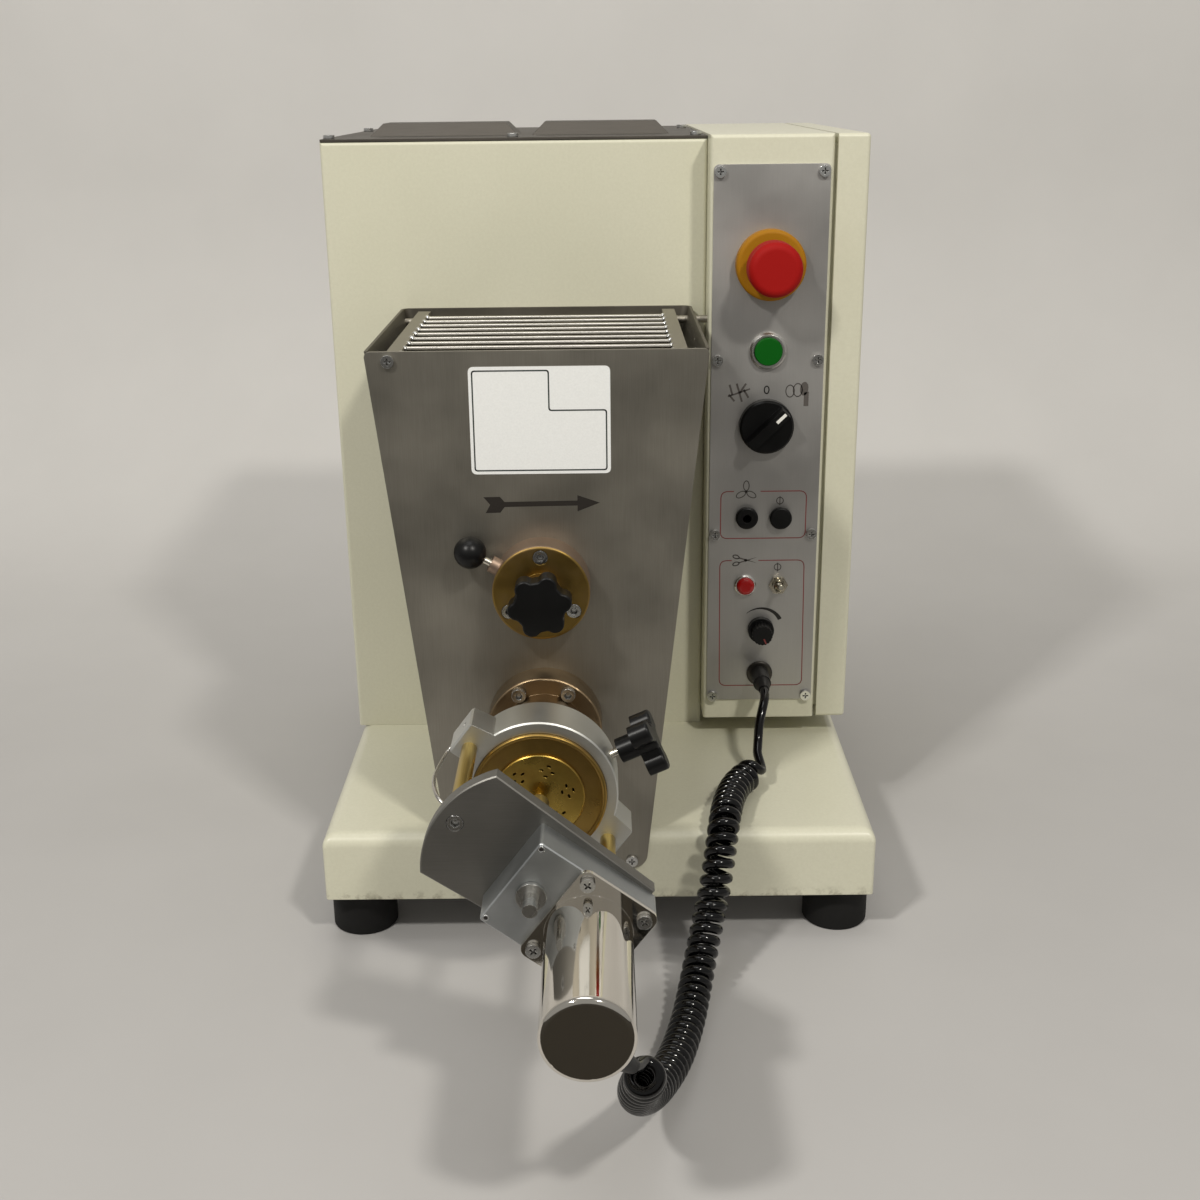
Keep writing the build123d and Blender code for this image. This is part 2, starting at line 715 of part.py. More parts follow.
def make_lamp():
    """Signal lamp: bright bezel through the panel with a domed red lens."""
    left = column_middle - pair_half_spacing
    with BuildPart() as lamp_bezel:
        disc(left, lamp_row_z, small_bezel_diameter, plate_face, plate_face - 3.0)
        chamfer(lamp_bezel.edges().group_by(Axis.Y)[0], length=1.0)
        disc(left, lamp_row_z, small_hole - 0.2, nut_back + 16.0, plate_face)
        disc(left, lamp_row_z, lens_diameter, plate_face - 1.0, plate_face - 4.0, Mode.SUBTRACT)
    finish(lamp_bezel, "lamp_bezel")
    with BuildPart() as lamp_lens:
        disc(left, lamp_row_z, lens_diameter, plate_face - 1.0, plate_face - 6.5)
        fillet(lamp_lens.edges().group_by(Axis.Y)[0], radius=3.0)
    finish(lamp_lens, "lamp_lens")


def make_toggle():
    """Toggle switch: nickel bush and nut with a tapered lever that rocks up and down."""
    right = column_middle + pair_half_spacing
    with BuildPart() as toggle_switch:
        with BuildSketch(facing(plate_face)) as nut:
            with Locations((right, lamp_row_z)):
                RegularPolygon(8.2, 6)
        extrude(nut.sketch, amount=2.5)
        disc(right, lamp_row_z, small_hole - 0.2, nut_back, plate_face)
        disc(right, lamp_row_z, 10.6, plate_face - 2.5, plate_face - 5.5)
        block((right - 7.0, right + 7.0), (nut_back, nut_back + 18.0), (lamp_row_z - 10.0, lamp_row_z + 10.0))
        with Locations((right, toggle_pivot, lamp_row_z)):
            Sphere(toggle_ball / 2 + running_gap, mode=Mode.SUBTRACT)
        with Locations((right, toggle_pivot - toggle_ball / 2, lamp_row_z)):
            Box(7.2, toggle_ball, 9.4, mode=Mode.SUBTRACT)
    finish(toggle_switch, "toggle_switch")
    tilt = radians(toggle_tilt)
    lever = Plane(origin=(right, toggle_pivot, lamp_row_z), x_dir=(1, 0, 0), z_dir=(0, -cos(tilt), sin(tilt)))
    with BuildPart() as toggle_lever:
        with Locations((right, toggle_pivot, lamp_row_z)):
            Sphere(toggle_ball / 2)
        with BuildSketch(lever) as root:
            Circle(1.8)
        with BuildSketch(lever.offset(toggle_length)) as tip:
            Circle(3.0)
        loft([root.sketch.face(), tip.sketch.face()])
        fillet(toggle_lever.edges().filter_by(GeomType.CIRCLE).sort_by(Axis.Y)[0], radius=1.4)
    finish(toggle_lever, "toggle_lever")


def make_speed_control():
    """Cutter speed: a fluted knob on the shaft of a potentiometer."""
    knob_back = plate_face - running_gap
    shaft_end = column_front + 6.0
    case_front = column_front + sheet
    with BuildPart() as speed_knob:
        disc(column_middle, speed_z, speed_knob_diameter, knob_back, knob_back - 6.0)
        disc(column_middle, speed_z, speed_knob_diameter - 5.0, knob_back - 6.0, knob_back - 18.0)
        with BuildSketch(facing(knob_back - 6.0)) as flutes:
            with Locations((column_middle, speed_z)):
                with PolarLocations(speed_knob_diameter / 2 - 2.2, 18):
                    Circle(0.8)
        extrude(flutes.sketch, amount=13.0, mode=Mode.SUBTRACT)
        disc(column_middle, speed_z, knob_shaft, shaft_end, knob_back)
    finish(speed_knob, "speed_knob")
    with BuildPart() as potentiometer:
        disc(column_middle, speed_z, speed_knob_diameter + 2.0, case_front + 14.0, case_front)
        disc(column_middle, speed_z, small_hole - 2.0, case_front, plate_face)
        disc(column_middle, speed_z, knob_shaft + 2 * running_gap, shaft_end + running_gap,
             plate_face - 1.0, Mode.SUBTRACT)
    finish(potentiometer, "potentiometer")


def make_cutter_connection():
    """Round panel socket for the cutter motor and the plug that sits in it."""
    bore = plug_diameter - 4.0
    grip_front = plate_face - plug_length + 14.0
    with BuildPart() as cutter_socket:
        disc(column_middle, socket_z, plug_diameter + 7.0, plate_face, plate_face - 3.0)
        chamfer(cutter_socket.edges().group_by(Axis.Y)[0], length=0.8)
        disc(column_middle, socket_z, small_hole + 4.0 - 0.2, nut_back + 10.0, plate_face)
        disc(column_middle, socket_z, bore + 0.2, nut_back, plate_face - 4.0, Mode.SUBTRACT)
    finish(cutter_socket, "cutter_socket")
    with BuildPart() as cutter_plug:
        disc(column_middle, socket_z, bore, nut_back - 4.0, plate_face - 3.0)
        disc(column_middle, socket_z, plug_diameter, plate_face - 3.0, grip_front)
        with BuildSketch(facing(grip_front)) as wide:
            with Locations((column_middle, socket_z)):
                Circle(plug_diameter / 2 - 0.8)
        with BuildSketch(facing(plate_face - plug_length)) as narrow:
            with Locations((column_middle, socket_z)):
                Circle(cord_diameter / 2 + 1.2)
        loft([wide.sketch.face(), narrow.sketch.face()])
    finish(cutter_plug, "cutter_plug")


# ================================================================== hopper
def drum_tangent(half_width, radius):
    """Point where the straight side from the rim meets the round drum, from the mixer axis."""
    rise = hopper_top - mixer_z
    angle = atan2(rise, half_width) - acos(radius / sqrt(half_width ** 2 + rise ** 2))
    return radius * cos(angle), radius * sin(angle)


def trough_face(half_width, radius, back=housing_front, above=0.001):
    """Outline of the tub seen from the front, at a depth, carried a little above the rim."""
    side, height = drum_tangent(half_width, radius)
    rim = hopper_top - mixer_z
    x = drive_x
    z = mixer_z
    points = [(-side, height), (-half_width, rim), (-half_width, rim + above),
              (half_width, rim + above), (half_width, rim), (side, height)]
    with BuildSketch(facing(back)) as outline:
        with BuildLine():
            Polyline(*[(x + px, z + pz) for px, pz in points])
            ThreePointArc((x + side, z + height), (x, z - radius), (x - side, z + height))
        make_face()
    return outline.sketch


def rear_outline(builder, back):
    """Edges of the tub's rear face below its rim."""
    rear_face_edges = builder.faces().sort_by(Axis.Y)[-1].edges()
    return rear_face_edges.filter_by(lambda edge: edge.center().Z < hopper_top - 1.0)


def make_hopper_tub():
    """Stainless tub: straight sides, round drum, and a chute that joins it to the extruder barrel."""
    depth = housing_front - plate_back
    tub_half_width = hopper_half_width - tub_inset
    back = housing_front - sheet
    with BuildPart() as cavity:
        extrude(trough_face(tub_half_width - sheet, drum_radius - sheet, back, above=5.0), amount=depth + 5.0)
        fillet(rear_outline(cavity, back), radius=hopper_back_corner - sheet)
    with BuildPart() as hopper_tub:
        extrude(trough_face(tub_half_width, drum_radius), amount=depth)
        fillet(rear_outline(hopper_tub, housing_front), radius=hopper_back_corner)
        block((drive_x - feed_slot_half_width - 6.0, drive_x + feed_slot_half_width + 6.0),
              (feed_slot_front - 6.0, feed_slot_rear + 6.0), (auger_z + 10.0, mixer_z - drum_radius + 3.0))
        add(cavity.part, mode=Mode.SUBTRACT)
        for x, z in hopper_screws_top:
            block((x - hopper_tab_half_width, x + hopper_tab_half_width), (plate_back, plate_back + sheet),
                  (hopper_top - hopper_tab_height, hopper_top - sheet))
        disc(drive_x, auger_z, 2 * (barrel_radius + 0.2), housing_front + 1.0, plate_back - 1.0,
             Mode.SUBTRACT)
        block((drive_x - feed_slot_half_width, drive_x + feed_slot_half_width),
              (feed_slot_front, feed_slot_rear),
              (auger_z, mixer_z - drum_radius / 2), Mode.SUBTRACT)
        disc(drive_x, mixer_z, shaft_diameter + 4.0, housing_front + 1.0, housing_front - 2 * sheet,
             Mode.SUBTRACT)
        round_bar(facing(plate_back + 2 * sheet), hopper_screws_top, panel_screw, 4 * sheet, Mode.SUBTRACT)
        with BuildSketch(Plane.YZ.offset(drive_x)) as pin_hole:
            with Locations((hinge_y, hinge_z)):
                Circle(hinge_pin / 2 + running_gap)
        extrude(pin_hole.sketch, amount=2 * hopper_half_width, both=True, mode=Mode.SUBTRACT)
    finish(hopper_tub, "hopper_tub")


def make_hopper_front_plate():
    """Thick brushed plate that closes the tub and narrows down past the extruder."""
    low_half = hopper_half_width - hopper_side_slope * (hopper_top - hopper_plate_bottom)
    with BuildPart() as hopper_front_plate:
        with BuildSketch(facing(plate_back)) as outline:
            with BuildLine():
                Polyline((drive_x - hopper_half_width, hopper_top), (drive_x + hopper_half_width, hopper_top),
                         (drive_x + low_half, hopper_plate_bottom), (drive_x - low_half,
                          hopper_plate_bottom), close=True)
            make_face()
            fillet(outline.vertices().group_by(Axis.Y)[0], radius=hopper_plate_corner)
            fillet(outline.vertices().group_by(Axis.Y)[-1], radius=hopper_plate_top_corner)
        extrude(outline.sketch, amount=sheet)
        disc(drive_x, mixer_z, hub_spigot + 0.2, plate_back + 1.0, plate_front - 1.0, Mode.SUBTRACT)
        disc(drive_x, auger_z, 2 * barrel_radius + 0.2, plate_back + 1.0, plate_front - 1.0, Mode.SUBTRACT)
        round_bar(facing(plate_back + sheet), hopper_screws_top + hopper_screws_low, panel_screw, 3 * sheet,
                  Mode.SUBTRACT)
        round_bar(facing(plate_back + sheet), hub_screws + flange_screws, cap_screw + 0.2, 3 * sheet,
                  Mode.SUBTRACT)
    finish(hopper_front_plate, "hopper_front_plate")


def make_grille_lid():
    """Welded wire lid: two flat side bars, cross rods, and a hinge pin through the tub into the column."""
    left = drive_x - lid_half_width
    right = drive_x + lid_half_width
    front = plate_back + 3.0
    rear = hinge_y + hinge_pin / 2
    rod_pitch = (hinge_y - front - lid_bar_width) / lid_rod_count
    across = Plane.YZ.offset(left + lid_bar_width / 2)
    with BuildPart() as grille_lid:
        for low in (left, right - lid_bar_width):
            block((low, low + lid_bar_width), (front, rear), (lid_z - lid_rod / 2, lid_z + lid_rod / 2))
            block((low, low + lid_bar_width), (hinge_y - hinge_pin / 2, rear),
                  (hinge_z - hinge_pin / 2, lid_z))
        round_bar(across, [(front + lid_bar_width / 2 + rod_pitch * i, lid_z) for i in range(lid_rod_count)],
                  lid_rod, 2 * lid_half_width - lid_bar_width)
        round_bar(Plane.YZ.offset(drive_x - hopper_half_width - 1.0), [(hinge_y, hinge_z)], hinge_pin,
                  housing_right + 8.0 - (drive_x - hopper_half_width - 1.0))
    finish(grille_lid, "grille_lid")


def make_lid_interlock():
    """Safety switch inside the column that the hinge pin works."""
    with BuildPart() as lid_interlock:
        block((housing_right + sheet, housing_right + 32.0), (hinge_y - 12.0, hinge_y + 26.0),
              (hinge_z - 20.0, hinge_z + 20.0))
        with BuildSketch(Plane.YZ.offset(housing_right)) as pin_hole:
            with Locations((hinge_y, hinge_z)):
                Circle(hinge_pin / 2 + running_gap)
        extrude(pin_hole.sketch, amount=8.0 + running_gap, mode=Mode.SUBTRACT)
    finish(lid_interlock, "lid_interlock")


# ================================================================== mixing
def make_mixer_shaft():
    """Mixer shaft with flat paddles set a quarter turn apart along it."""
    with BuildPart() as mixer_shaft:
        disc(drive_x, mixer_z, shaft_diameter, bearing_plate[1], plate_front - hub_bearing_depth + 0.5)
        for i in range(paddle_count):
            turn = radians(90.0 * i)
            y = paddle_front + paddle_pitch * i
            arm = Plane(origin=(drive_x, y, mixer_z), x_dir=(0, 1, 0), z_dir=(sin(turn), 0, cos(turn)))
            round_bar(arm, [(0, 0)], paddle_arm, paddle_reach - paddle_width / 2)
            with BuildSketch(arm.offset(paddle_reach - paddle_width)) as blade:
                Rectangle(paddle_width, paddle_thickness, rotation=paddle_twist)
            extrude(blade.sketch, amount=paddle_width)
    finish(mixer_shaft, "mixer_shaft")


def plunger_plane(distance):
    """Plane square to the plunger, at a distance from the mixer axis."""
    turn = radians(plunger_angle)
    out = (cos(turn), 0, sin(turn))
    y = plate_front - 14.0
    return Plane(origin=(drive_x + distance * out[0], y, mixer_z + distance * out[2]), x_dir=(0, 1, 0),
                 z_dir=out)


def counterbored(places, depth):
    """Holes with counterbores for cap screws, in a face at depth, going back."""
    round_bar(facing(depth + 60.0), places, cap_screw + 0.2, 61.0, Mode.SUBTRACT)
    round_bar(facing(depth + cap_head_height), places, cap_head + 0.8, cap_head_height + 1.0, Mode.SUBTRACT)


def make_mixer_hub():
    """Bronze hub for the front end of the mixer shaft: three counterbored screws, a bush for the plunger."""
    with BuildPart() as mixer_hub:
        disc(drive_x, mixer_z, hub_diameter, plate_front, hub_front)
        fillet(mixer_hub.edges().group_by(Axis.Y)[0], radius=2.0)
        rim = hub_diameter / 2 - 2.0
        round_bar(plunger_plane(rim), [(0, 0)], plunger_bush_diameter, plunger_bush_length + 2.0)
        disc(drive_x, mixer_z, hub_boss_diameter, hub_front, hub_front - hub_boss_length)
        disc(drive_x, mixer_z, hub_spigot, plate_front + 14.0, plate_front)
        disc(drive_x, mixer_z, shaft_diameter + 2 * shaft_clearance, plate_front + 15.0,
             plate_front - hub_bearing_depth,
             Mode.SUBTRACT)
        disc(drive_x, mixer_z, star_stud + 2 * running_gap, plate_front + 1.0,
             hub_front - hub_boss_length - 1.0,
             Mode.SUBTRACT)
        counterbored(hub_screws, hub_front)
        round_bar(plunger_plane(0.0), [(0, 0)], plunger_pin + 2 * running_gap, hub_diameter, Mode.SUBTRACT)
    finish(mixer_hub, "mixer_hub")


def make_socket_screws():
    """All the identical cap screws: mixer hub, extruder flange and cutter plate."""
    with BuildPart() as socket_screws:
        hub_grip = hub_thickness - cap_head_height + sheet
        plate_grip = plate_thickness - cap_head_height + standoff_thread
        for plane, places, grip in ((facing(hub_front + cap_head_height), hub_screws, hub_grip),
                                    (facing(flange_front), flange_screws, flange_thickness + sheet),
                                    (cutter_plane(cutter_plate_front + cap_head_height), standoffs, plate_grip)):
            round_bar(plane, places, cap_head, cap_head_height)
            with BuildSketch(plane.offset(cap_head_height - 3.0)) as sockets:
                with Locations(*places):
                    RegularPolygon(2.9, 6)
            extrude(sockets.sketch, amount=4.0, mode=Mode.SUBTRACT)
            round_bar(plane.offset(-grip), places, cap_screw, grip)
    finish(socket_screws, "socket_screws")


def make_star_knob():
    """Moulded six-lobe knob on a steel stud that turns in the hub's boss."""
    with BuildPart() as star_knob:
        head_back = star_seat - 8.0
        with BuildSketch(facing(head_back)) as lobes:
            with Locations((drive_x, mixer_z)):
                Circle(star_knob_core / 2)
                with PolarLocations(star_knob_diameter / 2 - star_lobe, 6, start_angle=10):
                    Circle(star_lobe)
            fillet(lobes.vertices(), radius=3.5)
        extrude(lobes.sketch, amount=star_knob_thickness)
        fillet(star_knob.edges().group_by(Axis.Y)[0], radius=1.5)
        disc(drive_x, mixer_z, 22.0, star_seat, head_back)
        disc(drive_x, mixer_z, star_stud, plate_front - hub_bearing_depth - 0.5, star_seat)
    finish(star_knob, "star_knob")


def make_plunger():
    """Index plunger in the hub's rim: a sprung pin with a ball grip."""
    with BuildPart() as plunger_ball:
        with Locations(plunger_plane(ball_distance)):
            Sphere(ball_diameter / 2)
        tip = shaft_diameter / 2 + 0.5
        round_bar(plunger_plane(tip), [(0, 0)], plunger_pin, ball_distance - ball_diameter / 2 - tip + 2.0)
    finish(plunger_ball, "plunger_ball")


# ================================================================== extruding
def make_extruder_barrel():
    """Bronze barrel under the hopper with its flange on the front plate and a thick nose for the die nut."""
    end_wall = housing_front - barrel_end_wall
    nose_back = ring_front + ring_width + 4.0
    with BuildPart() as extruder_barrel:
        disc(drive_x, auger_z, 2 * barrel_radius, housing_front, plate_front)
        disc(drive_x, auger_z, flange_diameter, plate_front, flange_front)
        fillet(extruder_barrel.edges().group_by(Axis.Y)[0], radius=1.5)
        disc(drive_x, auger_z, 2 * barrel_radius, flange_front, die_seat)
        disc(drive_x, auger_z, nose_diameter, nose_back, die_seat)
        disc(drive_x, auger_z, barrel_bore, end_wall, die_seat - 1.0, Mode.SUBTRACT)
        disc(drive_x, auger_z, shaft_diameter + 2 * shaft_clearance, housing_front + 1.0, end_wall - 1.0,
             Mode.SUBTRACT)
        block((drive_x - feed_slot_half_width, drive_x + feed_slot_half_width),
              (feed_slot_front, feed_slot_rear),
              (auger_z, auger_z + barrel_radius + 5.0), Mode.SUBTRACT)
        round_bar(facing(plate_front + 1.0), flange_screws, cap_screw + 0.2, flange_thickness + 2.0,
                  Mode.SUBTRACT)
    finish(extruder_barrel, "extruder_barrel")


def make_die():
    """Bronze die with six groups of four short slots and a centre pin."""
    arms = [(die_slot_arm, 0), (-die_slot_arm, 0), (0, die_slot_arm), (0, -die_slot_arm)]
    with BuildPart() as die:
        disc(drive_x, auger_z, nose_diameter - 1.0, die_seat, die_seat - die_flange)
        disc(drive_x, auger_z, die_diameter, die_seat - die_flange, die_face)
        chamfer(die.edges().group_by(Axis.Y)[0], length=0.7)
        with BuildSketch(facing(die_face)) as slots:
            with Locations((drive_x, auger_z)):
                with PolarLocations(die_group_radius, die_group_count, start_angle=die_group_start):
                    with Locations(*arms):
                        SlotOverall(die_slot_length, die_slot_width, rotation=90)
        extrude(slots.sketch, amount=-2 * die_thickness, mode=Mode.SUBTRACT)
        disc(drive_x, auger_z, die_pin, die_face, die_face - die_pin_length)
        chamfer(die.edges().group_by(Axis.Y)[0], length=0.8)
    finish(die, "die")


def make_die_nut():
    """Brass ring nut with a rounded lip that holds the die on the barrel's nose."""
    front = die_face
    back = front + nut_length
    with BuildPart() as die_nut:
        disc(drive_x, auger_z, nut_diameter, back, front)
        disc(drive_x, auger_z, nut_diameter - 2 * nut_lip, front + nut_recess, front - 1.0, Mode.SUBTRACT)
        fillet(die_nut.edges().group_by(Axis.Y)[0], radius=nut_lip / 2 - 0.1)
        disc(drive_x, auger_z, nose_diameter + 0.2, back + 1.0, die_seat - die_flange, Mode.SUBTRACT)
        disc(drive_x, auger_z, die_diameter + 0.2, die_seat, front - 1.0, Mode.SUBTRACT)
    finish(die_nut, "die_nut")


def helix_flight(radius_in, radius_out, pitch, back, front, thickness):
    """Screw flight around the auger axis, swept forwards along a helix."""
    centre = (drive_x, back, auger_z)
    path = Helix(pitch, back - front, (radius_in + radius_out) / 2, center=centre, direction=(0, -1, 0))
    start = path @ 0
    along = path % 0
    out = Vector(start.X - drive_x, 0, start.Z - auger_z).normalized()
    with BuildSketch(Plane(origin=start, x_dir=out, z_dir=along)) as section:
        Rectangle(radius_out - radius_in, thickness)
    return sweep(section.sketch, path=path, is_frenet=True)


def make_auger():
    """Auger: round core, one screw flight, and a rear journal through the housing into the gears."""
    front = die_seat + 6.0
    back = housing_front - barrel_end_wall - 1.0
    outer = barrel_bore / 2 - auger_play
    with BuildPart() as auger:
        disc(drive_x, auger_z, shaft_diameter, bearing_plate[1], back)
        disc(drive_x, auger_z, auger_core, back, front)
        helix_flight(auger_core / 2 - 2.0, outer, auger_pitch, back - 5.0, front + 5.0, 5.0)
    finish(auger, "auger")


# ================================================================== drive
def gear_outline(plane, x, z, teeth, module, phase):
    """Spur gear face with straight-flanked teeth; one tooth points along the phase angle."""
    pitch_radius = module * teeth / 2
    step = 2 * pi / teeth
    corners = ((-0.31, -1.25), (-0.11, 0.95), (0.11, 0.95), (0.31, -1.25))
    points = []
    for i in range(teeth):
        for along, height in corners:
            angle = radians(phase) + step * (i + along)
            radius = pitch_radius + module * height
            points.append((x + radius * cos(angle), z + radius * sin(angle)))
    with BuildSketch(plane) as outline:
        with BuildLine():
            Polyline(*points, close=True)
        make_face()
    return outline.sketch


def make_drive_gears():
    """Motor pinion, mixer gear and auger gear, in mesh on one plane behind the housing's front wall."""
    plane = facing(gear_back)
    with BuildPart() as mixer_gear:
        mixer_outline = gear_outline(plane, drive_x, mixer_z, mixer_teeth, gear_module,
                                     -90 + 180 / mixer_teeth)
        extrude(mixer_outline, amount=gear_thickness)
        with BuildSketch(plane) as windows:
            with Locations((drive_x, mixer_z)):
                with PolarLocations(40.0, 6):
                    Circle(12.0)
        extrude(windows.sketch, amount=gear_thickness, mode=Mode.SUBTRACT)
        disc(drive_x, mixer_z, shaft_diameter, gear_back + 1.0, gear_front - 1.0, Mode.SUBTRACT)
    finish(mixer_gear, "mixer_gear")
    with BuildPart() as auger_gear:
        extrude(gear_outline(plane, drive_x, auger_z, auger_teeth, gear_module, 90), amount=gear_thickness)
        disc(drive_x, auger_z, shaft_diameter, gear_back + 1.0, gear_front - 1.0, Mode.SUBTRACT)
    finish(auger_gear, "auger_gear")
    with BuildPart() as drive_pinion:
        drive_outline = gear_outline(plane, drive_x, drive_z, drive_teeth, gear_module,
                                     -90 + 180 / drive_teeth)
        extrude(drive_outline, amount=gear_thickness)
        disc(drive_x, drive_z, motor_shaft, bearing_plate[1] + 20.0, gear_front)
    finish(drive_pinion, "drive_pinion")


def make_gear_plate():
    """Steel plate standing on the base: it carries both rear shaft ends and the motor."""
    x = (drive_x - gear_plate_half_width, drive_x + gear_plate_half_width)
    with BuildPart() as gear_plate:
        block(x, bearing_plate, (base_top, drive_z + motor_diameter / 2 + 7.0))
        block(x, (bearing_plate[0], bearing_plate[1] + gear_plate_foot), (base_top, base_top + 8.0))
        bearing = shaft_diameter + 2 * shaft_clearance
        for z, bore in ((mixer_z, bearing), (auger_z, bearing), (drive_z, motor_shaft + 4.0)):
            disc(drive_x, z, bore, bearing_plate[1] + 1.0, bearing_plate[0] - 1.0, Mode.SUBTRACT)
    finish(gear_plate, "gear_plate")


def make_drive_motor():
    """Finned motor bolted to the back of the gear plate."""
    back = bearing_plate[1] + motor_length
    with BuildPart() as drive_motor:
        disc(drive_x, drive_z, motor_diameter, back, bearing_plate[1])
        with BuildSketch(facing(back - 20.0)) as fins:
            with Locations((drive_x, drive_z)):
                with PolarLocations(motor_diameter / 2, 24):
                    Rectangle(8.0, 3.0)
        extrude(fins.sketch, amount=motor_length - 50.0)
        block((drive_x - motor_box / 2, drive_x + motor_box / 2),
              (bearing_plate[1] + 60.0, bearing_plate[1] + 60.0 + motor_box),
              (drive_z, drive_z + motor_diameter / 2 + 30.0))
        disc(drive_x, drive_z, motor_shaft + 2 * running_gap, bearing_plate[1] + 20.0 + running_gap,
             bearing_plate[1] - 1.0,
             Mode.SUBTRACT)
    finish(drive_motor, "drive_motor")


# ================================================================== cutter unit
def clamp_plane(distance):
    """Plane square to the clamp knob's stud, at a distance from the auger axis."""
    turn = radians(clamp_knob_angle)
    out = (cos(turn), 0, sin(turn))
    origin = (drive_x + distance * out[0], ring_front + ring_width / 2, auger_z + distance * out[2])
    return Plane(origin=origin, x_dir=(0, 1, 0), z_dir=out)


def make_clamp_ring():
    """Aluminium ring around the die nut with two lugs for the standoffs and a bore for the clamp stud."""
    stud = clamp_plane(nut_diameter / 2 - 5.0)
    root = nut_diameter / 2 - 5.0
    with BuildPart() as clamp_ring:
        disc(drive_x, auger_z, ring_diameter, ring_front + ring_width, ring_front)
        chamfer(clamp_ring.edges().group_by(Axis.Y)[0], length=1.0)
        for side in (-1, 1):
            with BuildSketch(cutter_plane(ring_front + lug_depth)) as lug:
                with BuildLine():
                    Polyline((side * root, lug_low), (side * lug_reach, lug_low), (side * lug_reach, lug_high),
                             (side * lug_shoulder[0], lug_shoulder[1]), (side * root, lug_shoulder[1]),
                             close=True)
                make_face()
            extrude(lug.sketch, amount=lug_depth)
        turn = radians(cutter_angle)
        end = clamp_ring.faces().sort_by(Axis((0, 0, 0), (cos(turn), 0, sin(turn))))
        chamfer(end[0].edges() + end[-1].edges(), length=1.2)
        disc(drive_x, auger_z, nut_diameter + 0.4, ring_front + ring_width + 1.0, ring_front - 1.0,
             Mode.SUBTRACT)
        round_bar(stud, [(0, 0)], clamp_stud + 2 * running_gap, 40.0, Mode.SUBTRACT)
        middle = cutter_plane(ring_front + lug_depth / 2)
        end_hole = Plane(origin=middle.from_local_coords(Vector(-lug_reach - 1.0, lug_high - 8.0, 0)),
                         z_dir=middle.x_dir)
        round_bar(end_hole, [(0, 0)], lug_pin_hole, 5.0, Mode.SUBTRACT)
        wire_hole = Plane(origin=middle.from_local_coords(Vector(*spring_seat, 0)), z_dir=-middle.y_dir)
        round_bar(wire_hole, [(0, 0)], spring_wire + 2 * shaft_clearance, 20.0, Mode.SUBTRACT)
    finish(clamp_ring, "clamp_ring")


def make_clamp_knob():
    """Three-lobe knob whose stud presses on the die nut and locks the cutter unit."""
    lobe_radius = 7.5
    lobe_reach = clamp_knob_diameter / 2 - lobe_radius
    stud_tip = nut_diameter / 2 + running_gap
    seat = ring_diameter / 2 + clamp_stud_shown
    with BuildPart() as clamp_knob:
        round_bar(clamp_plane(stud_tip), [(0, 0)], clamp_stud, seat - stud_tip + 5.0)
        round_bar(clamp_plane(seat), [(0, 0)], clamp_hub, clamp_hub_length)
        with BuildSketch(clamp_plane(seat + clamp_hub_length - 1.0)) as lobes:
            Circle(lobe_radius + 2.0)
            with PolarLocations(lobe_reach, 3, start_angle=20):
                Circle(lobe_radius)
            with PolarLocations(lobe_reach / 2, 3, start_angle=20):
                Rectangle(lobe_reach, 12.0)
        extrude(lobes.sketch, amount=clamp_knob_thickness)
        outward = Axis(origin=clamp_plane(0).origin, direction=clamp_plane(0).z_dir)
        fillet(clamp_knob.faces().sort_by(outward)[-1].edges(), radius=2.0)
    finish(clamp_knob, "clamp_knob")


def make_standoffs():
    """Two brass standoffs that hold the cutter plate in front of the die."""
    with BuildPart() as cutter_standoffs:
        round_bar(cutter_plane(ring_front), standoffs, standoff_diameter, standoff_length)
        hole = standoff_thread + 0.5
        round_bar(cutter_plane(cutter_plate_back + hole), standoffs, cap_screw + 0.2, hole + 1.0, Mode.SUBTRACT)
    finish(cutter_standoffs, "cutter_standoffs")


def make_cutter_plate():
    """Thick aluminium plate with a rounded end; it carries the cutter shaft and the gearbox."""
    with BuildPart() as cutter_plate:
        with BuildSketch(cutter_plane(cutter_plate_back)) as outline:
            with BuildLine():
                Polyline((cutter_plate_left, cutter_plate_left_half),
                         (cutter_plate_right, cutter_plate_right_half),
                         (cutter_plate_right, -cutter_plate_right_half), (cutter_plate_left,
                          -cutter_plate_left_half))
                ThreePointArc((cutter_plate_left, -cutter_plate_left_half), (cutter_plate_arc, 0),
                              (cutter_plate_left, cutter_plate_left_half))
            make_face()
        extrude(outline.sketch, amount=plate_thickness)
        chamfer(cutter_plate.edges().group_by(Axis.Y)[0], length=0.8)
        back = cutter_plane(cutter_plate_back + 1.0)
        through = plate_thickness + 2.0
        round_bar(back, [(0, 0)], cutter_shaft_diameter + 2 * shaft_clearance, through, Mode.SUBTRACT)
        round_bar(back, standoffs, cap_screw + 0.2, through, Mode.SUBTRACT)
        counterbore = cutter_plane(cutter_plate_front + cap_head_height)
        round_bar(counterbore, standoffs, cap_head + 0.8, cap_head_height + 1.0, Mode.SUBTRACT)
    finish(cutter_plate, "cutter_plate")


